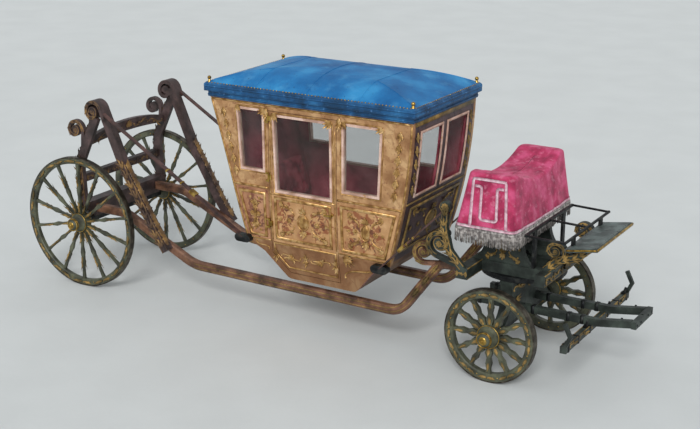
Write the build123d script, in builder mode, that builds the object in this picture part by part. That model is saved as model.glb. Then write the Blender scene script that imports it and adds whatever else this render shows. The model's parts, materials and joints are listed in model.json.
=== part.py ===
from build123d import *
import os

os.makedirs("parts", exist_ok=True)

# Fits and gaps
running_clearance = 0.05
slip_gap = 0.3
moving_gap = 6
# what a cut leaves below this volume is a shaving
least_piece = 20000

# Wheelbase and width: the braces pass beside the body, the standards carry them,
# and the wheels turn outside the standards
rear_wheel_radius = 745
front_wheel_radius = 463
wheelbase = 5046
pole_jaw_reach = 1234
body_half_width = 665
brace_gap = 7
standard_width = 50
wheel_side_gap = 13
rear_felloe_half = 30
front_felloe_half = 38
strap_y = body_half_width + brace_gap
standard_outer_y = strap_y + standard_width / 2
standard_inner_y = strap_y - standard_width / 2
track = 2 * (standard_outer_y + wheel_side_gap + rear_felloe_half)
overall_length = rear_wheel_radius + wheelbase + pole_jaw_reach
rear_axle_x = -overall_length / 2 + rear_wheel_radius
front_axle_x = rear_axle_x + wheelbase

# Coach body: distances along x are from the middle of the coach
wall = 45
roof_line_z = 2377
belt_z = 1500
sill_z = 800
belly_z = 530
turn_under = 115
section_margin = 100
transom_back = 396
transom_to_coach = 490
front_top = 1150
front_waist = 1068
front_foot = 880
rear_top = 1205
rear_waist = 975
rear_foot = 800
belly_front = 470
belly_rear = 330
sill_front = 700
sill_rear = 600
sill_depth = 70
# past the coach in any direction
beyond = overall_length
transom_rear_face = front_axle_x - transom_back
coach_x = transom_rear_face - transom_to_coach - front_top

# Doorways
door_rear = -500
door_front = 305
door_top_z = 2325

# Roof
cornice_overhang = 40
cornice_step = 30
cornice_lower = 60
cornice_height = 150
dome_height = 165
dome_edge = 22
dome_shoulder = 0.5
dome_shoulder_rise = 0.84
dome_haunch_rise = 0.65

# Windows, as they show from outside: name of the opening, then its four corners
window_border = 24
window_proud = 8
glass_thickness = 5
# opening, rear x at foot, rear x at head, front x at foot, front x at head, foot z, head z
side_windows = [
    ("rear_quarter", -840, -884, -540, -545, 1660, 2310),
    ("door", -420, -450, 255, 245, 1470, 2275),
    ("front_quarter", 365, 365, 790, 820, 1580, 2285),
]

# Perches, inside the stays of the rear standards
stay_thickness = 87
perch_width = 80
perch_outer_y = standard_inner_y - stay_thickness
perch_half_spacing = perch_outer_y - perch_width / 2
perch_height = 95
perch_low_z = 410
perch_rear_z = 868
perch_edge = 14
perch_rear_level = 480
perch_rear_drop = 930
neck_level = 244
neck_run = 440

# Front gear
arm_radius = 28
axle_bed = 64
ring_outer = 420
ring_inner = 330
ring_plate = 25
ring_z = 900
bed_z = 950
bed_height = 110
transom_depth = 120
king_pin_radius = 20
futchell_half_spacing = 190
futchell_width = 60
futchell_height = 70
futchell_z = 585
jaw_z = 637
splinter_reach = 764
splinter_half_width = 830
splinter_bar_height = 66
trace_bolt_radius = 14
trace_bolt_height = 70
trace_bolt_lean = 20
inner_bolt_y = 290
outer_bolt_y = 740
pole_pin_radius = 13

# Leather braces
strap_width = 50
strap_thickness = 14

# Coachman's seat
seat_back_x = 330
seat_front_x = 121
seat_inset = 45
seat_half_width = body_half_width - seat_inset
seat_top_z = 1990
seat_dish = 120
seat_dish_half = 500
cloth_foot_z = 1450
cloth_flare_back = 99
cloth_flare_front = 63
cloth_flare_side = 60
cloth = 14
cloth_gap = 2
fringe_drop = 150
seat_foot_z = 1400

# Footboard
foot_rail_reach = 624
foot_rail_z = 1430
foot_rail_half = 570
foot_rail_radius = 14


# Outline of the coach body seen from the side
with BuildSketch(Plane.XZ) as outline:
    with BuildLine():
        ThreePointArc(
            (coach_x + front_foot, sill_z + 60),
            (coach_x + front_waist, (sill_z + roof_line_z) / 2),
            (coach_x + front_top, roof_line_z),
        )
        Line((coach_x + front_top, roof_line_z), (coach_x - rear_top, roof_line_z))
        ThreePointArc(
            (coach_x - rear_top, roof_line_z),
            (coach_x - rear_waist, (sill_z + roof_line_z) / 2),
            (coach_x - rear_foot, sill_z + 100),
        )
        Polyline(
            (coach_x - rear_foot, sill_z + 100),
            (coach_x - sill_rear, sill_z),
            (coach_x - belly_rear, belly_z),
            (coach_x + belly_front, belly_z),
            (coach_x + sill_front, sill_z),
            (coach_x + front_foot, sill_z + 60),
        )
    make_face()
    fillet(outline.vertices().sort_by(Axis.Y)[:6], radius=90)

with BuildSketch(Plane.XZ) as inner_outline:
    add(outline.sketch_local)
    offset(amount=-wall)

with BuildSketch(Plane.XZ) as doorway_outline:
    add(outline.sketch_local)
    offset(amount=-sill_depth)


def cross_section(half_width):
    """Cross-section of the body: upright above the belt, curving in below it.

    It runs past the outline at head and foot, so that the outline alone trims the walls there.
    """
    head = (half_width, roof_line_z + section_margin)
    foot = (half_width - turn_under, belly_z - section_margin)
    with BuildSketch(Plane.YZ) as section:
        with BuildLine():
            upright = Line(head, (half_width, belt_z))
            TangentArc(upright @ 1, foot, tangent=(0, -1))
            mirror(about=Plane.YZ)
            Line((-head[0], head[1]), head)
            Line(foot, (-foot[0], foot[1]))
        make_face()
    return section.sketch_local


outer_section = cross_section(body_half_width)
inner_section = cross_section(body_half_width - wall)


def side_walls(face):
    """Both side walls, cut to a face drawn on the XZ plane."""
    with BuildPart() as walls:
        with BuildSketch(Plane.YZ):
            add(outer_section)
            add(inner_section, mode=Mode.SUBTRACT)
        extrude(amount=overall_length, both=True)
        with BuildSketch(Plane.XZ):
            add(face)
        extrude(amount=track, both=True, mode=Mode.INTERSECT)
    return walls.part


def end_wall(face):
    """A wall between the sides, cut to a face drawn on the XZ plane."""
    with BuildPart() as between:
        with BuildSketch(Plane.YZ):
            add(inner_section)
        extrude(amount=overall_length, both=True)
        with BuildSketch(Plane.XZ):
            add(face)
        extrude(amount=track, both=True, mode=Mode.INTERSECT)
    return between.part


def rectangle_between(x0, x1, z0, z1):
    """Rectangle on the XZ plane, with x from the middle of the coach."""
    with BuildSketch(Plane.XZ) as box:
        with Locations((coach_x + (x0 + x1) / 2, (z0 + z1) / 2)):
            Rectangle(x1 - x0, z1 - z0)
    return box.sketch_local


def window_face(row, shrink):
    """One window opening on the XZ plane, drawn in by shrink."""
    name, rear_foot_x, rear_head_x, front_foot_x, front_head_x, foot_z, head_z = row
    with BuildSketch(Plane.XZ) as opening:
        Polygon(
            (coach_x + rear_foot_x, foot_z),
            (coach_x + front_foot_x, foot_z),
            (coach_x + front_head_x, head_z),
            (coach_x + rear_head_x, head_z),
            align=None,
        )
        if shrink:
            offset(amount=-shrink, kind=Kind.INTERSECTION)
        fillet(opening.vertices().sort_by(Axis.Y)[2:], radius=50 - shrink)
    return opening.sketch_local


def scroll(*line, radius, turn):
    """Carved scroll on the XZ plane: a band along a line, then half turns that wind in to a round eye.

    The last two points of the line give the way that the first turn sets off; turn is 1 or -1.
    """
    radii = [radius * share for share in (1, 0.63, 0.36)]
    width = radius * 0.42
    with BuildSketch(Plane.XZ) as band:
        with BuildLine() as centre_line:
            if len(line) > 2:
                FilletPolyline(*line, radius=2 * radii[0])
            else:
                Line(*line)
            heading = Vector(*line[-1]) - Vector(*line[-2])
            at = Vector(*line[-1])
            for turn_radius in radii:
                half_turn = JernArc(at, heading, turn_radius, turn * 180)
                at = half_turn @ 1
                heading = half_turn % 1
        trace(line_width=width)
        eye = at + heading.rotate(Axis.Z, turn * 90).normalized() * radii[-1]
        with Locations(eye):
            Circle(radii[-1])
    return band.sketch_local


def in_pairs(part, half_spacing):
    """A part that lies along the middle plane, set out once on each side."""
    return [solid for sign in (-1, 1) for solid in (Pos(0, sign * half_spacing, 0) * part).solids()]


def on_side(solids, side):
    """The solids of a part that lie on one side, as one part."""
    chosen = [s for s in solids.solids() if s.center().Y * side > 0]
    return Part() + chosen


def save(part, name):
    """Label a part and write it as one file."""
    part.label = name
    export_step(part, f"parts/{name}.step")


# Side walls, split where the real panels meet
panel_faces = {
    "rear_quarter": outline.sketch_local & rectangle_between(-beyond, door_rear, 0, roof_line_z),
    "front_quarter": outline.sketch_local & rectangle_between(door_front, beyond, 0, roof_line_z),
}
windows = {row[0]: row for row in side_windows}
sides = {"right": -1, "left": 1}
for name, face in panel_faces.items():
    walls = side_walls(face - window_face(windows[name], 0))
    save(walls, f"{name}_panels")

middle = outline.sketch_local & rectangle_between(door_rear, door_front, 0, roof_line_z)
doorway = doorway_outline.sketch_local & rectangle_between(door_rear, door_front, 0, door_top_z)
surround = side_walls(middle - doorway)
headers = [s for s in surround.solids() if s.center().Z > belt_z]
sills = [s for s in surround.solids() if s.center().Z < belt_z]
save(Part() + headers, "door_headers")
save(Part() + sills, "door_sills")

# Floor, ends and ceiling between the side walls
shell = outline.sketch_local - inner_outline.sketch_local
end_split_z = sill_z + 140
save(end_wall(shell & rectangle_between(-beyond, beyond, 0, end_split_z)), "floor")
rear_wall_face = shell & rectangle_between(-beyond, 0, end_split_z, roof_line_z - wall)
save(end_wall(rear_wall_face), "rear_wall")
save(end_wall(shell & rectangle_between(-beyond, beyond, roof_line_z - wall, beyond)), "ceiling")

front_wall_face = shell & rectangle_between(0, beyond, end_split_z, roof_line_z - wall)
front_window_foot_z = 1600
front_window_head_z = 2270
front_window_width = 470
front_window_y = 275
with BuildPart() as front_wall:
    add(end_wall(front_wall_face))
    with BuildSketch(Plane.YZ):
        with Locations((-front_window_y, (front_window_foot_z + front_window_head_z) / 2),
                       (front_window_y, (front_window_foot_z + front_window_head_z) / 2)):
            Rectangle(front_window_width, front_window_head_z - front_window_foot_z)
    extrude(amount=overall_length, mode=Mode.SUBTRACT)
save(front_wall.part, "front_wall")

# Glass of the front wall, following its curve
glass_inset = wall / 2 - glass_thickness / 2
with BuildSketch(Plane.XZ) as pane_line:
    add(outline.sketch_local)
    offset(amount=-glass_inset)
with BuildSketch(Plane.XZ) as pane_line_inner:
    add(outline.sketch_local)
    offset(amount=-glass_inset - glass_thickness)
with BuildPart() as front_glass:
    with BuildSketch(Plane.XZ):
        add(pane_line.sketch_local)
        add(pane_line_inner.sketch_local, mode=Mode.SUBTRACT)
        add(rectangle_between(0, beyond, front_window_foot_z, front_window_head_z), mode=Mode.INTERSECT)
    extrude(amount=body_half_width - wall, both=True)
    with BuildSketch(Plane.YZ):
        with Locations((-front_window_y, (front_window_foot_z + front_window_head_z) / 2),
                       (front_window_y, (front_window_foot_z + front_window_head_z) / 2)):
            Rectangle(front_window_width, front_window_head_z - front_window_foot_z)
    extrude(amount=overall_length, mode=Mode.INTERSECT)


def on_both_sides(face, inner_y, outer_y):
    """A face of the XZ plane made into two slabs, one on each side of the coach."""
    with BuildPart() as slabs:
        for sign in (-1, 1):
            with BuildSketch(Plane.XZ.offset(-sign * inner_y)):
                add(face)
            extrude(amount=-sign * (outer_y - inner_y))
    return slabs.part


def window_frames(row):
    """Frames of one window: they line the opening and stand proud of the panel."""
    ring = window_face(row, 0) - window_face(row, window_border)
    return on_both_sides(ring, body_half_width - wall, body_half_width + window_proud)


def window_panes(row):
    """Panes of one window, inside the frames."""
    middle_y = body_half_width - wall / 2
    pane = window_face(row, window_border)
    return on_both_sides(pane, middle_y - glass_thickness / 2, middle_y + glass_thickness / 2)


quarters = ("rear_quarter", "front_quarter")
save(Part() + [s for n in quarters for s in window_frames(windows[n]).solids()], "quarter_window_frames")
quarter_panes = [s for n in quarters for s in window_panes(windows[n]).solids()]
save(Part() + quarter_panes + front_glass.part.solids(), "body_glass")

# Doors, hinged at the rear edge
with BuildSketch(Plane.XZ) as door_limit:
    add(outline.sketch_local)
    offset(amount=-sill_depth - moving_gap)
door_panel_face = door_limit.sketch_local & rectangle_between(
    door_rear + moving_gap, door_front - moving_gap, 0, door_top_z - moving_gap
)
door_walls = side_walls(door_panel_face - window_face(windows["door"], 0))
door_frames = window_frames(windows["door"])
door_panes = window_panes(windows["door"])

hinge_radius = 9
hinge_pin_radius = 5
hinge_length = 60
hinge_leaf = 34
hinge_x = coach_x + door_rear + moving_gap / 2
hinge_y = body_half_width + hinge_radius + 3
hinge_heights = (1130, 1620, 2230)
handle_x = coach_x + door_front - 55
handle_z = 1330
all_hinge_pins = []
for side, sign in sides.items():
    panel = on_side(door_walls, sign)
    save(panel, f"door_{side}")
    save(on_side(door_frames, sign), f"door_window_frame_{side}")
    save(on_side(door_panes, sign), f"door_glass_{side}")
    with BuildPart() as hinge_leaves:
        for z in hinge_heights:
            with Locations((hinge_x, sign * hinge_y, z)):
                Cylinder(hinge_radius, hinge_length)
            with Locations((hinge_x + hinge_leaf / 2, sign * (hinge_y - 17), z)):
                Box(hinge_leaf, 34, hinge_length - 10)
            with Locations((hinge_x, sign * hinge_y, z)):
                Cylinder(hinge_pin_radius + running_clearance, hinge_length, mode=Mode.SUBTRACT)
        with Locations((hinge_x - hinge_leaf, sign * (hinge_y - hinge_radius - 20), belt_z)):
            Box(2 * hinge_leaf + moving_gap, 40, 3 * belt_z, mode=Mode.SUBTRACT)
        add(panel, mode=Mode.SUBTRACT)
    leaves = [s for s in hinge_leaves.part.solids() if s.center().Y * sign > body_half_width - 25]
    with BuildPart() as hinge_pins:
        for z in hinge_heights:
            with Locations((hinge_x, sign * hinge_y, z)):
                Cylinder(hinge_pin_radius, hinge_length + 40)
            for end in (-1, 1):
                lift = end * (hinge_length / 2 + slip_gap + 10)
                with Locations((hinge_x, sign * hinge_y, z + lift)):
                    Cylinder(hinge_radius, 20)
                with Locations((hinge_x - hinge_leaf / 2, sign * (hinge_y - 17), z + lift)):
                    Box(hinge_leaf, 34, 18)
        with Locations((hinge_x + hinge_leaf, sign * (hinge_y - hinge_radius - 20), belt_z)):
            Box(2 * hinge_leaf + moving_gap, 40, 3 * belt_z, mode=Mode.SUBTRACT)
        with BuildSketch(Plane.YZ):
            add(outer_section)
        extrude(amount=overall_length, both=True, mode=Mode.SUBTRACT)
    all_hinge_pins += hinge_pins.part.solids()
    with BuildPart() as handle:
        with BuildSketch(Plane.XY.offset(handle_z)):
            with BuildLine():
                Polyline((0, 0), (16, 0), (16, 6), (7, 10), (7, 34), (0, 34), close=True)
            make_face()
        revolve(axis=Axis((0, 0, handle_z), (0, 1, 0)))
        with Locations((-30, 40, handle_z)):
            Box(90, 12, 18)
        fillet(handle.edges().group_by(Axis.Y)[-1], radius=4)
    seat_y = body_half_width - 3.5
    turned = handle.part if sign > 0 else mirror(handle.part, about=Plane.XZ)
    grip = Pos(handle_x, sign * seat_y, 0) * turned
    grip_solid = (grip - panel).solids().sort_by(SortBy.VOLUME)[-1:]
    save(Part() + leaves + grip_solid, f"door_fittings_{side}")
save(Part() + all_hinge_pins, "hinge_pins")

# Roof
roof_mid_x = coach_x + (front_top - rear_top) / 2
cornice_half_length = (front_top + rear_top) / 2 + cornice_overhang
cornice_half_width = body_half_width + cornice_overhang + 10
with BuildPart() as cornice:
    with BuildSketch(Plane.XY.offset(roof_line_z)):
        with Locations((roof_mid_x, 0)):
            Rectangle(2 * (cornice_half_length - cornice_step), 2 * (cornice_half_width - cornice_step))
    extrude(amount=cornice_height)
    with BuildSketch(Plane.XY.offset(roof_line_z + cornice_lower)):
        with Locations((roof_mid_x, 0)):
            Rectangle(2 * cornice_half_length, 2 * cornice_half_width)
    extrude(amount=cornice_height - cornice_lower)
    chamfer(cornice.edges().group_by(Axis.Z)[-1], length=dome_edge - 4)
    with BuildSketch(Plane.XY.offset(roof_line_z)):
        with Locations((roof_mid_x, 0)):
            Rectangle(2 * (cornice_half_length - 140), 2 * (cornice_half_width - 140))
    extrude(amount=cornice_height, mode=Mode.SUBTRACT)
save(cornice.part, "cornice")


def dome_profile(middle, half_span):
    """Low arch with long gentle slopes, standing on the cornice."""
    shoulder = half_span * dome_shoulder
    rise = dome_height * dome_shoulder_rise
    haunch = (half_span + shoulder) / 2
    with BuildSketch() as profile:
        with BuildLine():
            ThreePointArc(
                (middle - half_span, dome_z),
                (middle - haunch, dome_z + rise * dome_haunch_rise),
                (middle - shoulder, dome_z + rise),
            )
            ThreePointArc(
                (middle - shoulder, dome_z + rise),
                (middle, dome_z + dome_height),
                (middle + shoulder, dome_z + rise),
            )
            ThreePointArc(
                (middle + shoulder, dome_z + rise),
                (middle + haunch, dome_z + rise * dome_haunch_rise),
                (middle + half_span, dome_z),
            )
            Line((middle + half_span, dome_z), (middle - half_span, dome_z))
        make_face()
    return profile.sketch_local


dome_z = roof_line_z + cornice_height
dome_half_length = cornice_half_length - dome_edge
dome_half_width = cornice_half_width - dome_edge
knob_radius = 20
knob_inset = 42
knob_notch = 2 * (knob_inset - dome_edge + knob_radius + 2)
knob_seats = [
    (roof_mid_x + i * (cornice_half_length - knob_inset), j * (cornice_half_width - knob_inset))
    for i in (-1, 1) for j in (-1, 1)
]
with BuildPart() as dome:
    with BuildSketch(Plane.XZ):
        add(dome_profile(roof_mid_x, dome_half_length))
    extrude(amount=dome_half_width, both=True)
    with BuildSketch(Plane.YZ):
        add(dome_profile(0, dome_half_width))
    extrude(amount=overall_length, both=True, mode=Mode.INTERSECT)
    with Locations(*[(roof_mid_x + i * dome_half_length, j * dome_half_width, dome_z)
                     for i in (-1, 1) for j in (-1, 1)]):
        Box(knob_notch, knob_notch, dome_height, mode=Mode.SUBTRACT)
save(dome.part, "roof_dome")

# Corner knobs of the roof
with BuildPart() as knob:
    Cone(knob_radius, knob_radius / 2, 24, align=(Align.CENTER, Align.CENTER, Align.MIN))
    with Locations((0, 0, knob_radius * 2)):
        Sphere(knob_radius)
corner_knobs = [Pos(x, y, dome_z) * knob.part for x, y in knob_seats]
save(Part() + corner_knobs, "roof_knobs")

# Seats inside
bench_z = 1000
cushion = 120
bench_depth = 470
bench_half_width = body_half_width - wall - turn_under + 15
rear_inside = coach_x - rear_foot + wall
front_inside = coach_x + front_foot - wall
bench_reach = bench_depth + 200
bench_middles = (rear_inside - 200 + bench_reach / 2, front_inside + 200 - bench_reach / 2)
with BuildPart() as benches:
    with BuildSketch(Plane.XZ):
        with Locations(*[(x, bench_z - 150) for x in bench_middles]):
            Rectangle(bench_reach, 300)
        add(inner_outline.sketch_local, mode=Mode.INTERSECT)
    extrude(amount=bench_half_width, both=True)
save(benches.part, "benches")

with BuildPart() as seat_cushions:
    with BuildSketch(Plane.XZ):
        with Locations(*[(x, bench_z + cushion / 2) for x in bench_middles]):
            Rectangle(bench_reach, cushion)
        add(inner_outline.sketch_local, mode=Mode.INTERSECT)
    extrude(amount=bench_half_width, both=True)
save(seat_cushions.part, "seat_cushions")

back_cushion = 100
back_head_z = 1570
inside = inner_outline.sketch_local
back_range = rectangle_between(-beyond, beyond, bench_z + cushion, back_head_z)
with BuildPart() as back_cushions:
    with BuildSketch(Plane.XZ):
        add(inside - Pos(back_cushion, 0) * inside)
        add(inside - Pos(-back_cushion, 0) * inside)
        add(back_range, mode=Mode.INTERSECT)
    extrude(amount=bench_half_width, both=True)
save(back_cushions.part, "back_cushions")

# Wheels: the nave's middle is a drum that the spokes stand on
nave_drum_half = 42
nave_inner = 110
nave_outer = 165
bore_depth = 118
tyre_thickness = 14
felloe_chamfer = 9
# turned and carved spokes: share of the way from nave to felloe, half breadth
slender_spoke = [(0, 19), (0.12, 13), (0.34, 12), (0.46, 24), (0.58, 12), (0.85, 13), (1, 20)]
carved_spoke = [(0, 21), (0.1, 22), (0.26, 38), (0.44, 18), (0.62, 30), (0.8, 17), (1, 27)]
# prefix, axle x, radius, spokes, spoke rows, nave radius, felloe depth, half width, spoke half thickness
wheel_table = [
    ("rear", rear_axle_x, rear_wheel_radius, 14, slender_spoke, 105, 62, rear_felloe_half, 15),
    ("front", front_axle_x, front_wheel_radius, 12, carved_spoke, 112, 74, front_felloe_half, 21),
]
for row in wheel_table:
    prefix, axle_x, radius, spoke_count, spoke_rows, nave_radius, felloe_depth, half_width, spoke_half = row
    felloe_outer = radius - tyre_thickness
    felloe_inner = felloe_outer - felloe_depth
    tenon = felloe_depth / 3
    with BuildPart() as nave:
        with BuildSketch(Plane.XY):
            with BuildLine():
                Polyline(
                    (arm_radius + running_clearance, -nave_inner),
                    (nave_radius * 0.62, -nave_inner),
                    (nave_radius * 0.8, -nave_drum_half - 26),
                    (nave_radius, -nave_drum_half),
                    (nave_radius, nave_drum_half),
                    (nave_radius * 0.78, nave_drum_half + 34),
                    (nave_radius * 0.6, nave_outer - 45),
                    (nave_radius * 0.62, nave_outer - 25),
                    (nave_radius * 0.4, nave_outer),
                    (0, nave_outer),
                    (0, bore_depth),
                    (arm_radius + running_clearance, bore_depth),
                    close=True,
                )
            make_face()
        revolve(axis=Axis.Y)
    root = nave_radius - tenon
    span = felloe_inner + tenon - root
    outline_points = [(-breadth, root + share * span) for share, breadth in spoke_rows]
    outline_points += [(breadth, root + share * span) for share, breadth in reversed(spoke_rows)]
    with BuildPart() as felloes:
        with BuildSketch(Plane.XZ):
            Circle(felloe_outer)
            Circle(felloe_inner, mode=Mode.SUBTRACT)
        extrude(amount=half_width, both=True)
        inner_rims = felloes.edges().filter_by(GeomType.CIRCLE).sort_by(SortBy.RADIUS)[:2]
        chamfer(inner_rims, length=felloe_chamfer)
        with BuildSketch(Plane.XZ):
            with PolarLocations(0, spoke_count):
                Polygon(*outline_points, align=None)
        extrude(amount=spoke_half, both=True)
        with BuildSketch(Plane.XZ):
            Circle(nave_radius)
        extrude(amount=half_width, both=True, mode=Mode.SUBTRACT)
    with BuildPart() as tyre:
        with BuildSketch(Plane.XZ):
            Circle(radius)
            Circle(felloe_outer, mode=Mode.SUBTRACT)
        extrude(amount=half_width, both=True)
    for side, sign in sides.items():
        place = Pos(axle_x, sign * track / 2, radius) * Rot(0, 0, 0 if sign > 0 else 180)
        save(place * (nave.part + felloes.part), f"{prefix}_{side}_wheel")
        save(place * tyre.part, f"{prefix}_{side}_tyre")

# Axles
collar_gap = 2
for prefix, axle_x, radius, *_ in wheel_table:
    bed_half = track / 2 - nave_inner - collar_gap
    with BuildPart() as axle:
        with Locations((axle_x, 0, radius)):
            Box(axle_bed, 2 * bed_half, axle_bed)
            Cylinder(arm_radius, 2 * (track / 2 + bore_depth - collar_gap), rotation=(90, 0, 0))
    save(axle.part, f"{prefix}_axle")

# Rear bed and standards
rear_bed_low = rear_wheel_radius + axle_bed / 2
rear_bed_high = 960
rear_bed_depth = 130
rear_bed_end = 890
with BuildPart() as rear_bed:
    with BuildSketch(Plane.YZ.offset(rear_axle_x - rear_bed_depth / 2)):
        with BuildLine():
            bed_side = Polyline(
                (0, rear_bed_low),
                (perch_outer_y, rear_bed_low),
                (standard_outer_y, rear_bed_end),
                (standard_outer_y, rear_bed_high),
                (0, rear_bed_high),
            )
            mirror(bed_side, about=Plane.YZ)
        make_face()
    extrude(amount=rear_bed_depth)
save(rear_bed.part, "rear_bed")

# Each rear standard rises from the bed and winds back at its head. A carved stay leans on it from the
# perch in front, and winds over into the head that the leather brace hangs from.
brace_head_x = rear_axle_x + 316
brace_head_z = 2060
rear_scroll_x = rear_axle_x + 63
upright_foot = (rear_axle_x, rear_bed_high - 20)
stay_foot_x = rear_axle_x + 1110
head_scroll_start = (brace_head_x + 50, brace_head_z - 110)
head_scroll_end = (brace_head_x + 10, brace_head_z)
upright_bend = (rear_axle_x - 20, 1400)
upright_head = (rear_axle_x + 250, 1960)
with BuildPart() as rear_upright:
    with BuildSketch(Plane.XZ):
        with BuildLine():
            FilletPolyline(upright_foot, upright_bend, upright_head, radius=400)
        trace(line_width=100)
        add(scroll((rear_axle_x + 40, 1480), (rear_scroll_x, 1780), radius=96, turn=1))
        with Locations((rear_axle_x, rear_bed_high - 250)):
            Rectangle(500, 500, mode=Mode.SUBTRACT)
    extrude(amount=standard_width / 2, both=True)
with BuildPart() as rear_stay:
    with BuildSketch(Plane.XZ):
        with BuildLine():
            FilletPolyline(
                (stay_foot_x, perch_low_z + 150),
                (rear_axle_x + 940, 800),
                (rear_axle_x + 560, 1440),
                (brace_head_x - 20, brace_head_z),
                radius=400,
            )
        trace(line_width=96)
        add(scroll(head_scroll_start, head_scroll_end, radius=100, turn=1))
    extrude(amount=stay_thickness / 2, both=True)
with BuildPart() as rear_head:
    with BuildSketch(Plane.XZ):
        add(scroll(head_scroll_start, head_scroll_end, radius=100, turn=1))
    extrude(amount=standard_width / 2, both=True)
rear_side = in_pairs(rear_upright.part + rear_head.part, strap_y)
rear_side += in_pairs(rear_stay.part, (standard_inner_y + perch_outer_y) / 2)
rear_standards = Part() + rear_side
save(rear_standards, "rear_standards")

lower_rail_z = 1230
lower_rail_height = 90
lower_rail_depth = 70
arch_z = 1620
arch_height = 80
arch_depth = 60
arch_rise = arch_z + arch_height
with BuildPart() as rear_rails:
    with BuildSketch(Plane.YZ.offset(rear_axle_x - 60)):
        with Locations((0, lower_rail_z)):
            Rectangle(2 * standard_inner_y, lower_rail_height)
    extrude(amount=lower_rail_depth)
    with BuildSketch(Plane.YZ.offset(rear_axle_x + 60)):
        with BuildLine():
            arch = ThreePointArc(
                (-standard_inner_y, arch_rise), (0, arch_rise + arch_height), (standard_inner_y, arch_rise)
            )
            Line(arch @ 1, (standard_inner_y, arch_z))
            ThreePointArc(
                (standard_inner_y, arch_z), (0, arch_z + arch_height / 2), (-standard_inner_y, arch_z)
            )
            Line((-standard_inner_y, arch_z), arch @ 0)
        make_face()
    extrude(amount=arch_depth)
save(rear_rails.part, "rear_rails")

# Perches with their crane necks
front_bed_z = bed_z + bed_height / 2
neck_head_x = transom_rear_face - neck_level
perch_drop_x = rear_axle_x + perch_rear_level
perch_path = [
    (rear_axle_x + rear_bed_depth / 2, perch_rear_z),
    (perch_drop_x, perch_rear_z),
    (perch_drop_x + perch_rear_drop, perch_low_z + 20),
    (neck_head_x - neck_run, perch_low_z),
    (neck_head_x, front_bed_z),
    (transom_rear_face, front_bed_z),
]
neck_scroll_start = (neck_head_x + 60, front_bed_z)
neck_scroll_end = (neck_head_x - 170, front_bed_z - 30)
with BuildPart() as perch:
    with BuildSketch(Plane.XZ):
        with BuildLine():
            FilletPolyline(*perch_path, radius=(400, 500, 240, 150))
        trace(line_width=perch_height)
    extrude(amount=perch_width / 2, both=True)
    chamfer(perch.faces().filter_by(Axis.Y).edges(), length=perch_edge)
    with BuildSketch(Plane.XZ):
        add(scroll(neck_scroll_start, neck_scroll_end, radius=100, turn=-1))
    extrude(amount=perch_width / 2 - perch_edge, both=True)
save(Part() + in_pairs(perch.part, perch_half_spacing), "perches")

# Front bed over the turntable
rail_half_spacing = 330
rail_width = 80
front_beam_x = front_axle_x + 330
front_beam_depth = 100
with BuildPart() as front_bed:
    with BuildSketch(Plane.XY.offset(bed_z)):
        with Locations((transom_rear_face + transom_depth / 2, 0)):
            Rectangle(transom_depth, 2 * standard_outer_y)
        with Locations((front_beam_x + front_beam_depth / 2, 0)):
            Rectangle(front_beam_depth, 1040)
        rail_length = front_beam_x + front_beam_depth - transom_rear_face
        rail_middle = transom_rear_face + rail_length / 2
        with Locations(*[(rail_middle, i * rail_half_spacing) for i in (-1, 0, 1)]):
            Rectangle(rail_length, rail_width)
        with Locations((front_axle_x, 0)):
            Circle(king_pin_radius, mode=Mode.SUBTRACT)
    extrude(amount=bed_height)
save(front_bed.part, "front_bed")

with BuildPart() as upper_ring:
    with BuildSketch(Plane.XY.offset(ring_z + ring_plate + slip_gap)):
        with Locations((front_axle_x, 0)):
            Circle(ring_outer)
            Circle(ring_inner, mode=Mode.SUBTRACT)
    extrude(amount=bed_z - ring_z - ring_plate - slip_gap)
save(upper_ring.part, "turntable_upper_ring")

pin_foot_z = 720
on_its_foot = (Align.CENTER, Align.CENTER, Align.MIN)
with BuildPart() as king_pin:
    with Locations((front_axle_x, 0, pin_foot_z)):
        Cylinder(king_pin_radius, bed_z + bed_height - pin_foot_z, align=on_its_foot)
    with Locations((front_axle_x, 0, bed_z + bed_height)):
        Cylinder(2 * king_pin_radius, 20, align=on_its_foot)
save(king_pin.part, "king_pin")

# Front standards: a post that winds forward at its head, with a large scroll behind its foot
front_head_x = transom_rear_face - 115
front_head_z = 1620
transom_top = bed_z + bed_height
transom_middle_x = transom_rear_face + transom_depth / 2
foot_scroll_start = (transom_middle_x, transom_top)
foot_scroll_end = (transom_rear_face - 210, transom_top + 74)
with BuildPart() as front_standard:
    with BuildSketch(Plane.XZ):
        with BuildLine():
            FilletPolyline(
                (transom_middle_x, transom_top - 20),
                (transom_rear_face - 80, 1200),
                (front_head_x - 25, 1420),
                (front_head_x - 15, 1600),
                radius=120,
            )
        trace(line_width=66)
        with Locations((front_head_x - 10, front_head_z + 10)):
            Circle(56)
        add(scroll(foot_scroll_start, foot_scroll_end, radius=116, turn=-1))
        with Locations((transom_middle_x, transom_top - 250)):
            Rectangle(900, 500, mode=Mode.SUBTRACT)
    extrude(amount=standard_width / 2, both=True)
front_standards = Part() + in_pairs(front_standard.part, strap_y)
save(front_standards, "front_standards")

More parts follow.
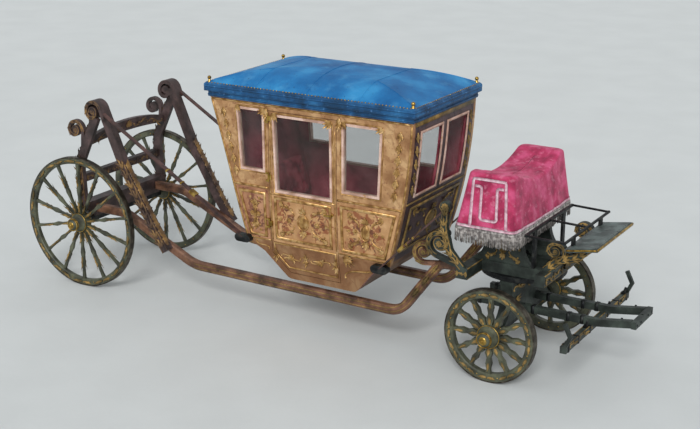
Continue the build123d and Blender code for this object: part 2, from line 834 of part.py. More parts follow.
# Leather braces that carry the body, and the irons they hang it by
# Each loop is a rounded iron that the brace runs into, held to the body by a block behind it
loop_height = 84
loop_length = 190
loop_inner_y = body_half_width - turn_under
brace_table = [
    # x and z at the body, x and z at the standard, what the brace hangs from
    (coach_x + 800, 880, front_head_x, front_head_z, front_standards),
    (coach_x - 830, 930, brace_head_x + 10, brace_head_z - 30, rear_standards),
]
loops = []
straps = []
for x0, z0, x1, z1, hanger in brace_table:
    with BuildPart() as brace:
        with BuildSketch(Plane.XZ):
            with BuildLine():
                Line((x0, z0), (x1, z1))
            trace(line_width=strap_thickness)
        extrude(amount=strap_width / 2, both=True)
    pair = [solid - hanger for solid in in_pairs(brace.part, strap_y)]
    straps += [p.solids().sort_by(SortBy.VOLUME)[-1] for p in pair]
    with BuildPart() as loop:
        for sign in sides.values():
            with BuildSketch(Plane.XZ.offset(-sign * loop_inner_y)):
                with Locations((x0, z0 - 10)):
                    SlotOverall(loop_length, loop_height)
            extrude(amount=-sign * (standard_outer_y - loop_inner_y))
        with BuildSketch(Plane.YZ):
            add(outer_section)
        extrude(amount=overall_length, both=True, mode=Mode.SUBTRACT)
    loops += [s for s in (loop.part - straps).solids() if s.volume > least_piece]
save(Part() + loops, "body_loops")
save(Part() + straps, "braces")

# Fore carriage: bolster, ring, futchells, splinter bar and pole jaw
bolster_foot_z = front_wheel_radius + axle_bed / 2
bolster_depth = 120
bolster_waist = (ring_outer - 20, 700)
bolster_corner = (ring_outer + 140, bolster_foot_z)
with BuildPart() as bolster:
    with BuildSketch(Plane.YZ.offset(front_axle_x - bolster_depth / 2)):
        with BuildLine():
            bolster_side = Line((0, ring_z), (ring_outer + 10, ring_z))
            bolster_end = ThreePointArc(bolster_side @ 1, bolster_waist, bolster_corner)
            bolster_foot = Line(bolster_corner, (0, bolster_foot_z))
            mirror(bolster_side + bolster_end + bolster_foot, about=Plane.YZ)
        make_face()
    extrude(amount=bolster_depth)
    with Locations(*[(front_axle_x, s * futchell_half_spacing, futchell_z) for s in (-1, 1)]):
        Box(bolster_depth, futchell_width, futchell_height, mode=Mode.SUBTRACT)
    with Locations((front_axle_x, 0, pin_foot_z - 5)):
        Cylinder(king_pin_radius + running_clearance, ring_z - pin_foot_z + 5,
                 align=on_its_foot, mode=Mode.SUBTRACT)
save(bolster.part, "fore_bolster")

with BuildPart() as lower_ring:
    with BuildSketch(Plane.XY.offset(ring_z)):
        with Locations((front_axle_x, 0)):
            Circle(ring_outer)
            Circle(ring_inner, mode=Mode.SUBTRACT)
    extrude(amount=ring_plate)
save(lower_ring.part, "turntable_lower_ring")

futchell_back = 430
jaw_depth = 50
with BuildPart() as futchell:
    with BuildSketch(Plane.XZ):
        with BuildLine():
            Polyline(
                (front_axle_x - futchell_back, futchell_z),
                (front_axle_x + splinter_reach + 80, futchell_z),
                (front_axle_x + pole_jaw_reach - jaw_depth, jaw_z),
            )
        trace(line_width=futchell_height)
        with Locations((front_axle_x + pole_jaw_reach, jaw_z)):
            Rectangle(2 * jaw_depth, 400, mode=Mode.SUBTRACT)
    extrude(amount=futchell_width / 2, both=True)
save(Part() + in_pairs(futchell.part, futchell_half_spacing), "futchells")

with BuildPart() as pole_jaw:
    with Locations((front_axle_x + pole_jaw_reach - jaw_depth / 2, 0, jaw_z)):
        Box(jaw_depth, 2 * futchell_half_spacing + futchell_width + 30, futchell_height)
        Cylinder(pole_pin_radius, futchell_height, mode=Mode.SUBTRACT)
save(pole_jaw.part, "pole_jaw")

splinter_x = front_axle_x + splinter_reach
splinter_top = futchell_z - futchell_height / 2
splinter_z = splinter_top - splinter_bar_height / 2
horn_width = 34
horn_bend = (splinter_x + 60, splinter_z + 130)
horn_tip = (splinter_x, splinter_z + 250)
with BuildPart() as splinter_bar:
    with Locations((splinter_x, 0, splinter_z)):
        Box(60, 2 * splinter_half_width, splinter_bar_height)
    with BuildSketch(Plane.XZ):
        with BuildLine():
            Polyline((splinter_x, splinter_z), horn_bend, horn_tip)
        trace(line_width=36)
    extrude(amount=splinter_half_width, both=True)
    with Locations((splinter_x + 30, 0, splinter_top + 200)):
        Box(300, 2 * (splinter_half_width - horn_width), 400, mode=Mode.SUBTRACT)
save(splinter_bar.part, "splinter_bar")

# The trace bolts lean forward, so that a trace goes over them in front of the footboard
bolt_collar_radius = 24
bolt_collar_height = 18
bolt_seat = 12
with BuildPart() as trace_bolts:
    for y in (-outer_bolt_y, -inner_bolt_y, inner_bolt_y, outer_bolt_y):
        leaning = Location((splinter_x, y, splinter_top), (0, trace_bolt_lean, 0))
        with Locations(leaning * Pos(0, 0, -bolt_seat)):
            Cylinder(bolt_collar_radius, bolt_seat + bolt_collar_height, align=on_its_foot)
            Cylinder(trace_bolt_radius, bolt_seat + trace_bolt_height, align=on_its_foot)
    add(splinter_bar.part, mode=Mode.SUBTRACT)
save(trace_bolts.part, "trace_bolts")


# Coachman's seat: box, cloth and fringe share one flared form
def flared_form(inset, low_z, high_z):
    """Solid between two heights, inset from the outer face of the seat cloth."""
    with BuildPart() as form:
        for z in (low_z, high_z):
            t = (seat_top_z - z) / (seat_top_z - cloth_foot_z)
            back = seat_back_x + t * cloth_flare_back - inset
            front = seat_front_x + t * cloth_flare_front - inset
            half = seat_half_width + t * cloth_flare_side - inset
            with BuildSketch(Plane.XY.offset(z)):
                with Locations((front_axle_x + (front - back) / 2, 0)):
                    RectangleRounded(front + back, 2 * half, 60)
        loft()
        if high_z > cloth_foot_z:
            dish_radius = (seat_dish_half**2 + seat_dish**2) / (2 * seat_dish)
            with BuildSketch(Plane.YZ):
                with Locations((0, seat_top_z - seat_dish + dish_radius)):
                    Circle(dish_radius + inset)
            extrude(amount=overall_length, both=True, mode=Mode.SUBTRACT)
    return form.part


cloth_outer = flared_form(0, cloth_foot_z, seat_top_z)
cloth_inner = flared_form(cloth, cloth_foot_z, seat_top_z - cloth)
save(cloth_outer - cloth_inner, "hammercloth")
fringe_z = cloth_foot_z - fringe_drop
save(flared_form(2, fringe_z, cloth_foot_z) - flared_form(12, fringe_z, cloth_foot_z), "hammercloth_fringe")
save(flared_form(cloth + cloth_gap, seat_foot_z, seat_top_z - cloth - cloth_gap), "seat_box")

# Scrolled stand between the front bed and the seat
stand_x = front_axle_x - 105
stand_waist_z = (transom_top + seat_foot_z) / 2
stand_plate = 60
# height, reach behind the middle, reach ahead of it
stand_levels = {
    "head": (seat_foot_z, 230, 250),
    "waist": (stand_waist_z, 160, 232),
    "foot": (transom_top, 290, 330),
}
stand_rear = {name: (stand_x - behind, z) for name, (z, behind, ahead) in stand_levels.items()}
stand_front = {name: (stand_x + ahead, z) for name, (z, behind, ahead) in stand_levels.items()}
with BuildPart() as seat_stand:
    with BuildSketch(Plane.XZ):
        with BuildLine():
            Line(stand_rear["head"], stand_front["head"])
            ThreePointArc(stand_front["head"], stand_front["waist"], stand_front["foot"])
            Line(stand_front["foot"], stand_rear["foot"])
            ThreePointArc(stand_rear["foot"], stand_rear["waist"], stand_rear["head"])
        make_face()
    extrude(amount=rail_half_spacing + stand_plate / 2, both=True)
    with Locations((stand_x, 0, stand_waist_z)):
        Box(beyond, 2 * rail_half_spacing - stand_plate, beyond, mode=Mode.SUBTRACT)
save(seat_stand.part, "seat_stand")

# Footboard with its open frame and brackets
foot_rail_x = front_axle_x + foot_rail_reach
frame_back_x = front_axle_x + seat_front_x + cloth_flare_front + 60
frame_back_z = 1440
foot_bar = 24
foot_stay = 18
with BuildPart() as foot_rails:
    with Locations((foot_rail_x, 0, foot_rail_z)):
        Cylinder(foot_rail_radius, 2 * foot_rail_half, rotation=(90, 0, 0))
    with Locations((frame_back_x, 0, frame_back_z)):
        Box(foot_bar, 2 * foot_rail_half, foot_bar)
save(foot_rails.part, "foot_rails")

board_front_x = foot_rail_x + 280
board_low_z = 1330
board_rise = 50
board_thickness = 28
with BuildPart() as footboard:
    with BuildSketch(Plane.XZ):
        with BuildLine():
            Line((foot_rail_x - 30, board_low_z), (board_front_x, board_low_z + board_rise))
        trace(line_width=board_thickness)
    extrude(amount=470, both=True)
save(footboard.part, "footboard")

# Carved brackets under the footboard, each winding back below the frame
bracket_y = 345
bracket_width = 60
beam_x = front_beam_x + 40
with BuildPart() as foot_bracket:
    with BuildSketch(Plane.XZ):
        with BuildLine():
            FilletPolyline(
                (beam_x, transom_top - 20),
                (beam_x + 130, 1190),
                (foot_rail_x + 60, 1240),
                (foot_rail_x + 130, board_low_z + 15),
                radius=70,
            )
        trace(line_width=76)
        add(scroll((beam_x + 70, 1110), (beam_x + 160, 1196), radius=86, turn=1))
        with Locations((beam_x, transom_top - 250)):
            Rectangle(900, 500, mode=Mode.SUBTRACT)
    extrude(amount=bracket_width / 2, both=True)
bracket_pair = Part() + in_pairs(foot_bracket.part, bracket_y)
foot_brackets = (bracket_pair - footboard.part).solids().sort_by(SortBy.VOLUME)[-2:]
foot_brackets = Part() + foot_brackets
save(foot_brackets, "foot_brackets")

# Stays between the two rails, and the posts that the rails stand on
stay_ys = (-foot_rail_half + foot_stay / 2, 0, foot_rail_half - foot_stay / 2)
with BuildPart() as foot_stay_bar:
    with BuildSketch(Plane.XZ):
        with BuildLine():
            Line((frame_back_x, frame_back_z), (foot_rail_x, foot_rail_z))
        trace(line_width=foot_stay)
    extrude(amount=foot_stay / 2, both=True)
with BuildPart() as foot_posts:
    with BuildSketch(Plane.XZ):
        for x, low_z, high_z in (
            (foot_rail_x, 1180, foot_rail_z),
            (frame_back_x, transom_top, frame_back_z - foot_bar / 2),
        ):
            with Locations((x, (low_z + high_z) / 2)):
                Rectangle(foot_bar, high_z - low_z)
    extrude(amount=bracket_width / 2, both=True)
bars = [Pos(0, y, 0) * foot_stay_bar.part for y in stay_ys] + in_pairs(foot_posts.part, bracket_y)
trimmed = [(bar - foot_rails.part - foot_brackets - footboard.part).solids() for bar in bars]
foot_stays = [solid for pieces in trimmed for solid in pieces if solid.volume > least_piece]
save(Part() + foot_stays, "foot_stays")
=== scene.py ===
"""A closed four-wheeled state coach: gilded panels, blue leather roof, crimson coachman's seat.

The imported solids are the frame. This script gives them their finishes, adds the mouldings, the carving,
the cloth and the cushions, and lights the coach in a plain studio. Lengths are in metres, +X is ahead.
"""
import bmesh
import bpy
import cmath
import json
import math
import random
from types import SimpleNamespace
from mathutils import Matrix, Vector
from mathutils.bvhtree import BVHTree


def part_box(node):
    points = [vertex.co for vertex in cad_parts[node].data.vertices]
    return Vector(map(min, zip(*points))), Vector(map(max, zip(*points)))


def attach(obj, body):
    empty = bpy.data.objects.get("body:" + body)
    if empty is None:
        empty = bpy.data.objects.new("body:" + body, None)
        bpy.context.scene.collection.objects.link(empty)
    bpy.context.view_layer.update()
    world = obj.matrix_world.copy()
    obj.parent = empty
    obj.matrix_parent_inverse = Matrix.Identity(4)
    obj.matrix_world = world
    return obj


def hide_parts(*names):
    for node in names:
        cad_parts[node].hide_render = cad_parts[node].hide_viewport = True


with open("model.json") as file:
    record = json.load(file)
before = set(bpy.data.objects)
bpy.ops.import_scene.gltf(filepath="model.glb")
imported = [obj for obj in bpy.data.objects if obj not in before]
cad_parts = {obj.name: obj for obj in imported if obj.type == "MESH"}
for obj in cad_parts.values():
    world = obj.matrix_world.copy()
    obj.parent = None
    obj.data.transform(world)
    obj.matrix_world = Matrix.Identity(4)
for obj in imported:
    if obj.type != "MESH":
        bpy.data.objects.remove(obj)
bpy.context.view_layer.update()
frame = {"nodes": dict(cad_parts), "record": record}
nodes = frame["nodes"]

AHEAD, LEFT, UP = Vector((1, 0, 0)), Vector((0, 1, 0)), Vector((0, 0, 1))
SIDES = {"right": -1, "left": 1}


# The coach body, as its panels are cut. A curved wall is the centre and the radius of its circle.

def laid(x, *pairs):
    """Points of a flat layout as complex numbers, their first measures counted from x."""
    return [complex(x + a, b) for a, b in pairs]


def circle_through(a, b, c):
    """Centre and radius of the circle through three points."""
    w = (c - a) / (b - a)
    centre = (b - a) * (w - abs(w) ** 2) / (2j * w.imag) + a
    return centre, abs(a - centre)


def face_at(curve, z):
    """How far out a curved wall's face lies at a height."""
    centre, radius = curve
    return centre.real + math.sqrt(radius**2 - (z - centre.imag) ** 2)


panels_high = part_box("front_quarter_panels")[1]
COACH_X = panels_high.x - 1.150
BELT_Z = 1.5
TURN_UNDER = 0.115
TURN_UNDER_HEIGHT = 1.07
SIDE_RADIUS = (TURN_UNDER_HEIGHT**2 + TURN_UNDER**2) / (2 * TURN_UNDER)
SIDE_CURVE = (complex(panels_high.y - SIDE_RADIUS, BELT_Z), SIDE_RADIUS)
FRONT_CURVE = circle_through(*laid(COACH_X, (0.880, 0.860), (1.068, 1.5885), (1.150, 2.377)))
REAR_CURVE = circle_through(*laid(COACH_X, (-0.800, 0.900), (-0.975, 1.5885), (-1.205, 2.377)))
WALL = 0.045


# Finishes

def srgb(hex_value, alpha=1.0):
    """An sRGB hex colour as linear values."""
    channels = [int(hex_value[i:i + 2], 16) / 255 for i in (1, 3, 5)]
    linear = [c / 12.92 if c <= 0.04045 else ((c + 0.055) / 1.055) ** 2.4 for c in channels]
    return (*linear, alpha)


def add(tree, kind, inputs=None, stops=None, **settings):
    """Adds a node with its settings, its colour stops and its links. An input is a value or a socket."""
    node = tree.nodes.new("ShaderNode" + kind)
    for name, value in settings.items():
        setattr(node, name, value)
    for _ in range(len(stops or ()) - 2):
        node.color_ramp.elements.new(0.5)
    for element, (place, colour) in zip(node.color_ramp.elements if stops else (), stops or ()):
        element.position = place
        element.color = srgb(colour) if isinstance(colour, str) else (colour, colour, colour, 1.0)
    for name, value in (inputs or {}).items():
        if isinstance(value, bpy.types.NodeSocket):
            tree.links.new(value, node.inputs[name])
        else:
            node.inputs[name].default_value = srgb(value) if isinstance(value, str) else value
    return node


def begin(name, tones, cloud_mm, grain_mm, roughness, stretch=(1.0, 1.0, 1.0), shader=None):
    """Starts a finish. Its colour drifts through three tones over cloud_mm, and a grain of grain_mm shows
    in its tone, its roughness and its relief. What shader holds is the same all over the surface."""
    made = bpy.data.materials.new(name)
    made.use_nodes = True
    tree = made.node_tree
    surface = tree.nodes["Principled BSDF"]
    for socket, value in (shader or {}).items():
        surface.inputs[socket].default_value = srgb(value) if isinstance(value, str) else value
    place = add(tree, "TexCoord").outputs["Object"]
    stretched = add(tree, "Mapping", {"Vector": place, "Scale": stretch}).outputs["Vector"]
    cloud = add(tree, "TexNoise", {"Vector": place, "Scale": 1000 / cloud_mm, "Detail": 6.0})
    grain = add(tree, "TexNoise", {"Vector": stretched, "Scale": 1000 / grain_mm, "Detail": 4.0})
    tone = add(tree, "ValToRGB", {"Fac": cloud.outputs["Fac"]}, stops=list(zip(TONE_STOPS, tones)))
    shade = add(tree, "MapRange", {"Value": grain.outputs["Fac"], "To Min": 0.72, "To Max": 1.2})
    colour = add(tree, "Mix", {0: 1.0, 6: tone.outputs["Color"], 7: shade.outputs["Result"]},
                 data_type="RGBA", blend_type="MULTIPLY")
    rough = add(tree, "MapRange", {"Value": grain.outputs["Fac"], "From Min": 0.3, "From Max": 0.7,
                                   "To Min": roughness - 0.08, "To Max": roughness + 0.08})
    tree.links.new(rough.outputs["Result"], surface.inputs["Roughness"])
    return SimpleNamespace(material=made, tree=tree, surface=surface, place=place, cloud=cloud.outputs["Fac"],
                           colour=colour.outputs[2], height=grain.outputs["Fac"])


def cover(finish, mask, colour, amount=1.0):
    """Lays another colour over a finish where the mask is 1."""
    share = add(finish.tree, "Math", {0: mask, 1: amount}, operation="MULTIPLY").outputs[0]
    mixed = add(finish.tree, "Mix", {0: share, 6: finish.colour, 7: colour}, data_type="RGBA")
    finish.colour = mixed.outputs[2]


def patches(finish, size_mm, start, end, colour, amount, **noise):
    """Lays another colour in patches of about size_mm: none up to start of the noise's value, all from end."""
    texture = add(finish.tree, "TexNoise", {"Vector": finish.place, "Scale": 1000 / size_mm, **noise})
    mask = add(finish.tree, "ValToRGB", {"Fac": texture.outputs["Fac"]}, stops=[(start, 0), (end, 1)])
    cover(finish, mask.outputs["Color"], colour, amount)


def within(finish, curve, axis, sign, upright_above=False):
    """Mask of what lies more than 20 mm inside a curved wall, where its lining shows."""
    centre, radius = curve
    tree = finish.tree
    split = add(tree, "SeparateXYZ", {"Vector": finish.place})
    where = split.outputs[axis]
    drop = add(tree, "Math", {0: centre.imag, 1: split.outputs["Z"]}, operation="SUBTRACT").outputs[0]
    if upright_above:
        drop = add(tree, "Math", {0: drop, 1: 0.0}, operation="MAXIMUM").outputs[0]
        where = add(tree, "Math", {0: where}, operation="ABSOLUTE").outputs[0]
    squared = add(tree, "Math", {0: drop, 1: drop}, operation="MULTIPLY").outputs[0]
    rest = add(tree, "Math", {0: radius**2, 1: squared}, operation="SUBTRACT").outputs[0]
    value = add(tree, "Math", {0: rest, 1: 0.5}, operation="POWER").outputs[0]
    for operation, other in (("ADD", centre.real), ("SUBTRACT", where), ("MULTIPLY", float(sign)),
                             ("GREATER_THAN", 0.02)):
        value = add(tree, "Math", {0: value, 1: other}, operation=operation).outputs[0]
    return value


def close(finish, relief_mm, strength=0.7):
    """Links a finish's colour and relief to its shader."""
    bump = add(finish.tree, "Bump", {"Height": finish.height, "Distance": relief_mm / 1000, "Strength": strength})
    finish.tree.links.new(finish.colour, finish.surface.inputs["Base Color"])
    finish.tree.links.new(bump.outputs["Normal"], finish.surface.inputs["Normal"])
    return finish.material


def gilded(name, tones, foliage, share, walls, apron=None):
    """Water gilding on carved limewood, some 300 years old: matt ochre gold, brown glaze in painted scrolls,
    red clay ground showing where it is rubbed. Inside the walls the same panel carries crimson silk."""
    f = begin(name, tones, 210, 7, 0.48)
    foliage_mm = 52
    swirl = add(f.tree, "TexWave", {"Vector": f.place, "Scale": 1000 / foliage_mm / 6, "Distortion": 14.0,
                                    "Detail": 2.0, "Detail Scale": 1.4}, bands_direction="DIAGONAL")
    scrolls = add(f.tree, "ValToRGB", {"Fac": swirl.outputs["Fac"]}, stops=[(0.56, 0), (0.72, 1)])
    cover(f, scrolls.outputs["Color"], foliage, share)
    patches(f, 26, 0.60, 0.66, "#74402A", 0.5, Detail=9.0)
    patches(f, 95, 0.62, 0.8, "#5A4028", 0.4, Detail=5.0)
    if apron:
        split = add(f.tree, "SeparateXYZ", {"Vector": f.place})
        below = add(f.tree, "MapRange", {"Value": split.outputs["Z"], "From Min": APRON_Z - 0.03,
                                         "From Max": APRON_Z + 0.03, "To Min": 1.0, "To Max": 0.0})
        cover(f, below.outputs["Result"], apron, 0.62)
    f.height = swirl.outputs["Fac"]
    mask = within(f, *walls[0])
    for wall in walls[1:]:
        mask = add(f.tree, "Math", {0: mask, 1: within(f, *wall)}, operation="MULTIPLY").outputs[0]
    silk = add(f.tree, "ValToRGB", {"Fac": f.cloud}, stops=list(zip(TONE_STOPS, LINING)))
    cover(f, mask, silk.outputs["Color"])
    gloss = add(f.tree, "MapRange", {"Value": mask, "To Min": 0.3, "To Max": 0.0})
    f.tree.links.new(gloss.outputs["Result"], f.surface.inputs["Metallic"])
    return close(f, 1.6)


def painted(name, tones, leaves, lights, middle, apart, reach):
    """Foliage painted in oil over gilding, under a yellowed varnish: russet leaves that gather in a pair of
    clusters, each apart from the panel's middle and of a reach, with dark hearts and ochre lights."""
    f = begin(name, tones, 180, 7, 0.45)
    place = f.place
    for operation, other in (("SUBTRACT", {1: middle}), ("ABSOLUTE", {}), ("SUBTRACT", {1: apart}),
                             ("DIVIDE", {1: reach})):
        place = add(f.tree, "VectorMath", {0: place, **other}, operation=operation).outputs[0]
    far = add(f.tree, "VectorMath", {0: place}, operation="LENGTH").outputs["Value"]
    near = add(f.tree, "MapRange", {"Value": far, "From Min": 0.3, "From Max": 1.3, "To Min": 0.11,
                                    "To Max": -0.13}).outputs["Result"]
    for size_mm, start, end, colour, amount in (
        (120, 0.50, 0.54, leaves, 0.75), (85, 0.58, 0.62, "#431A0E", 0.65), (55, 0.60, 0.66, lights, 0.6)
    ):
        texture = add(f.tree, "TexNoise", {"Vector": f.place, "Scale": 1000 / size_mm, "Detail": 4.0,
                                           "Distortion": 1.6})
        dense = add(f.tree, "Math", {0: texture.outputs["Fac"], 1: near}, operation="ADD").outputs[0]
        mask = add(f.tree, "ValToRGB", {"Fac": dense}, stops=[(start, 0), (end, 1)])
        cover(f, mask.outputs["Color"], colour, amount)
    return close(f, 0.5)


def carved_gear(name, tones, gold, gold_share):
    """Painted and gilded ash or oak of the running gear: dull oil paint along the grain, gold leaf left on
    the parts that hands and brushes don't reach, dust and soot in the rest."""
    f = begin(name, tones, 130, 12, 0.52, (0.25, 1.0, 0.5), {"Specular IOR Level": 0.4})
    patches(f, 34, 1 - gold_share - 0.04, 1 - gold_share + 0.14, gold, 0.55, Detail=12.0, Roughness=0.75)
    patches(f, 18, 0.58, 0.7, "#14100D", 0.55, Detail=6.0)
    return close(f, 1.0)


def velvet(name, tones, sheen, pile_mm=9):
    """Silk velvet: deep colour across the pile, a pale sheen along it, and rubbed patches where the pile leans,
    painted into the colour in the sheen's pale tint as painted sheen.
    """
    f = begin(name, tones, 140, pile_mm, 0.8, (1.0, 1.0, 0.5),
              {"Sheen Weight": 0.5, "Sheen Roughness": 0.4, "Sheen Tint": sheen})
    weave = add(f.tree, "TexNoise", {"Vector": f.place, "Scale": 420.0, "Detail": 2.0})
    # painted sheen: patches of the pale sheen colour laid into the velvet's own colour
    patches(f, 48, 0.56, 0.66, sheen, 0.22, Detail=6.0)
    f.height = weave.outputs["Fac"]
    return close(f, 1.2)


def metal(name, tones, roughness, metallic, pit_mm, tarnish, share):
    """Worked metal: hammer and file marks of pit_mm, tarnish or rust lying in patches."""
    f = begin(name, tones, 60, pit_mm, roughness, shader={"Metallic": metallic})
    patches(f, 30, 1 - share, 1 - share + 0.1, tarnish, 0.7, Detail=9.0, Roughness=0.7)
    return close(f, 0.6)


TONE_STOPS = (0.36, 0.5, 0.64)
LINING = ("#8A3040", "#A84858", "#C0606C")
APRON_Z = 0.925
FRONT_WALL, REAR_WALL = (FRONT_CURVE, "X", 1), (REAR_CURVE, "X", -1)
# ground tones, leaves and lights of the painted foliage
OCHRE = (("#9A6A44", "#B08456", "#C49A6C"), "#7A3818", "#CDA069")
RUSSET = (("#8A5840", "#A0704F", "#B48462"), "#622E1F", "#B4865C")

mats = {
    "gilded_panel": gilded("aged_water_gilding", ("#936A44", "#B68A5E", "#CDA677"), "#84572F", 0.34,
                           [(SIDE_CURVE, "Y", 1, True), FRONT_WALL, REAR_WALL], apron="#6B4328"),
    "rear_gilding": gilded("aged_water_gilding_rear", ("#8A6240", "#A87E54", "#C0986A"), "#74492C", 0.4,
                           [REAR_WALL]),
    # the front wall: dark maroon-grey, darkened as painted shade of a face turned from the light
    "maroon_panel": gilded("maroon_paint_with_painted_shade", ("#33242A", "#443236", "#554043"), "#5E4A4C", 0.4, [FRONT_WALL]),
    # gold leaf on carved ornament: brighter than the flat gilding, dark where dust lies in the cuts
    "gilt_carving": metal("gold_leaf_on_carving", ("#8A6336", "#B58C52", "#D6B07A"), 0.38, 0.7, 8, "#643A1C",
                          0.42),
    "brass": metal("old_lacquered_brass", ("#7C6030", "#A5843F", "#C9A95F"), 0.34, 1.0, 5, "#4A3516", 0.4),
    "iron": metal("wrought_iron", ("#1E1F20", "#2C2E2F", "#40423F"), 0.55, 0.8, 9, "#4A2C1C", 0.38),
    "tyre_iron": metal("worn_iron_tyre", ("#37322C", "#4C463D", "#6A6458"), 0.5, 0.85, 7, "#503424", 0.42),
    "perch_wood": carved_gear("gilded_brown_ash", ("#422B20", "#634332", "#805B46"), "#94703F", 0.42),
    "gear_wood": carved_gear("umber_painted_oak", ("#2B2120", "#403230", "#52403F"), "#75592F", 0.38),
    "gear_green": carved_gear("bottle_green_oil_paint", ("#1A201C", "#2A312C", "#3A433C"), "#5F5335", 0.34),
    "wheel_wood": carved_gear("olive_painted_elm", ("#33342A", "#484A3A", "#5C5E4A"), "#75653F", 0.38),
    # the same paints where the carver's gold leaf still holds, dull brown-gold over the ground
    "gear_gilding": carved_gear("worn_gilding_on_gear", ("#51421F", "#7A6233", "#A08148"), "#2A2618", 0.38),
    "gear_wood_gilding": carved_gear("worn_gilding_on_oak", ("#43322A", "#6A5033", "#92703F"), "#33262A", 0.40),
    "lining": velvet("crimson_silk_lining", LINING, "#C46A78", 20),
    "crimson_velvet": velvet("crimson_velvet", ("#84283A", "#AA3E50", "#C65A68"), "#D98A95"),
    "hammercloth": velvet("rose_crimson_velvet", ("#8A1840", "#AE2A55", "#C64A75"), "#E79AB2"),
}
# name, colours, middle of the panel, how far its clusters stand from it, and their reach, free where it is 9 m
for name, colours, middle, apart, reach in (
    ("painted_door_panel", OCHRE, (COACH_X - 0.0975, 0, 1.19), (0.200, 0, 0), (0.11, 9, 0.21)),
    ("painted_front_panel", OCHRE, (COACH_X + 0.620, 0, 1.19), (0.080, 0, 0), (0.13, 9, 0.21)),
    ("painted_rear_panel", RUSSET, (COACH_X - 0.690, 0, 1.19), (0, 0, 0), (0.14, 9, 0.21)),
    ("painted_back_panel", RUSSET, (0, 0, 1.225), (0, 0.25, 0), (9, 0.20, 0.19)),
    ("painted_back_upper_panel", OCHRE, (0, 0, 1.92), (0, 0.27, 0), (9, 0.22, 0.32)),
):
    mats[name] = painted(name, *colours, middle, apart, reach)

# Oil paint on the window frames: chalky pink-white, crackled, yellowed in the corners
f = begin("pink_white_oil_paint", ("#A98674", "#CBA796", "#DDBFB0"), 120, 5, 0.5)
cracks = add(f.tree, "TexVoronoi", {"Vector": f.place, "Scale": 1000 / 14}, feature="DISTANCE_TO_EDGE")
crackle = add(f.tree, "ValToRGB", {"Fac": cracks.outputs["Distance"]}, stops=[(0, 1), (0.05, 0)])
cover(f, crackle.outputs["Color"], "#7C5C4C", 0.55)
patches(f, 45, 0.62, 0.68, "#A9793C", 0.7, Detail=8.0)
mats["window_frame"] = close(f, 0.3)

# Dyed ox hide over the roof: azure, glazed, with pebbled grain, pale patches of painted highlight, scuffs
f = begin("azure_glazed_leather", ("#105A92", "#1B6EA8", "#3088BE"), 420, 6, 0.56,
          shader={"Specular IOR Level": 0.25})
pebbles = add(f.tree, "TexVoronoi", {"Vector": f.place, "Scale": 1000 / 11, "Randomness": 1.0})
# painted highlight: pale blue patches over the leather's colour
patches(f, 160, 0.55, 0.75, "#62ABD3", 0.3, Detail=7.0)
patches(f, 34, 0.64, 0.7, "#123F66", 0.5, Detail=9.0)
f.height = pebbles.outputs["Distance"]
mats["roof_leather"] = close(f, 0.9)

# The same blue as oil paint on the cornice, darker, with a soft gloss and chipped edges
f = begin("deep_blue_oil_paint", ("#143B5C", "#1B4F7C", "#2A6796"), 160, 8, 0.5, (0.2, 0.2, 1.0),
          {"Specular IOR Level": 0.3})
patches(f, 40, 0.63, 0.68, "#5B87B8", 0.5, Detail=9.0)
mats["cornice_blue"] = close(f, 0.5)

# Crown glass: nearly clear, a little grey-green, not quite flat
f = begin("crown_glass", ("#3A423F", "#48504C", "#565E5A"), 300, 160, 0.1, shader={"Alpha": 0.15})
mats["glass"] = close(f, 0.3, 0.05)

# The footboard's paint: the same green, paler and greyer as painted light on the board's lit top, trodden pale in
# patches, worn to the wood where the boots rest
f = begin("lit_and_trodden_grey_green_paint", ("#37403D", "#4A5552", "#5E6B68"), 150, 8, 0.5, (0.3, 1.0, 1.0))
patches(f, 60, 0.58, 0.66, "#7D8583", 0.45, Detail=9.0)
patches(f, 26, 0.62, 0.68, "#2A211A", 0.6, Detail=9.0)
mats["foot_paint"] = close(f, 0.6)

# Harness leather dyed dark red: rubbed along its length, waxed
f = begin("red_harness_leather", ("#2C1C18", "#442A25", "#5A3A33"), 90, 5, 0.5, (0.3, 1.0, 0.3))
patches(f, 12, 0.64, 0.7, "#1E0B0A", 0.5, Detail=5.0)
mats["strap_leather"] = close(f, 0.5)

# Pine boards stained brown, their joints 140 mm apart
f = begin("stained_pine_boards", ("#4A3120", "#64452E", "#7C5A3C"), 220, 14, 0.6, (0.08, 1.0, 1.0))
board_width = 0.14
boards = add(f.tree, "TexWave", {"Vector": f.place, "Scale": 1 / board_width / 2, "Distortion": 0.0},
             bands_direction="Y", wave_profile="SAW")
joints = add(f.tree, "ValToRGB", {"Fac": boards.outputs["Fac"]}, stops=[(0, 1), (0.05, 0)])
cover(f, joints.outputs["Color"], "#170E08", 0.9)
mats["floor_boards"] = close(f, 0.8)

# Silver-gilt braid: a tight twill of 4 mm, pale rose-grey, glinting
f = begin("silver_thread_braid", ("#B98A98", "#D6AFBA", "#E8CFD5"), 40, 4, 0.42, shader={"Metallic": 0.25})
twill = add(f.tree, "TexWave", {"Vector": f.place, "Scale": 1000 / 6 / 6.2832 * 2, "Distortion": 1.0},
            bands_direction="DIAGONAL")
cover(f, twill.outputs["Fac"], "#A9748A", 0.35)
f.height = twill.outputs["Fac"]
mats["braid"] = close(f, 0.8)

# Bullion fringe: twisted silver cords, grey with age
f = begin("silver_bullion", ("#625C5A", "#8E8884", "#BAB4AF"), 30, 5, 0.45, (1.0, 1.0, 0.3), {"Metallic": 0.35})
mats["fringe"] = close(f, 0.6)

for part in frame["record"]["subparts"]:
    obj = nodes[part["node"]]
    obj.data.materials.clear()
    obj.data.materials.append(mats[part["material_slot"]])
nodes["rear_wall"].data.materials[0] = mats["rear_gilding"]
nodes["footboard"].data.materials[0] = mats["foot_paint"]


# Lines. Ornament is laid out flat, x along and z up as complex numbers, with its relief in y.

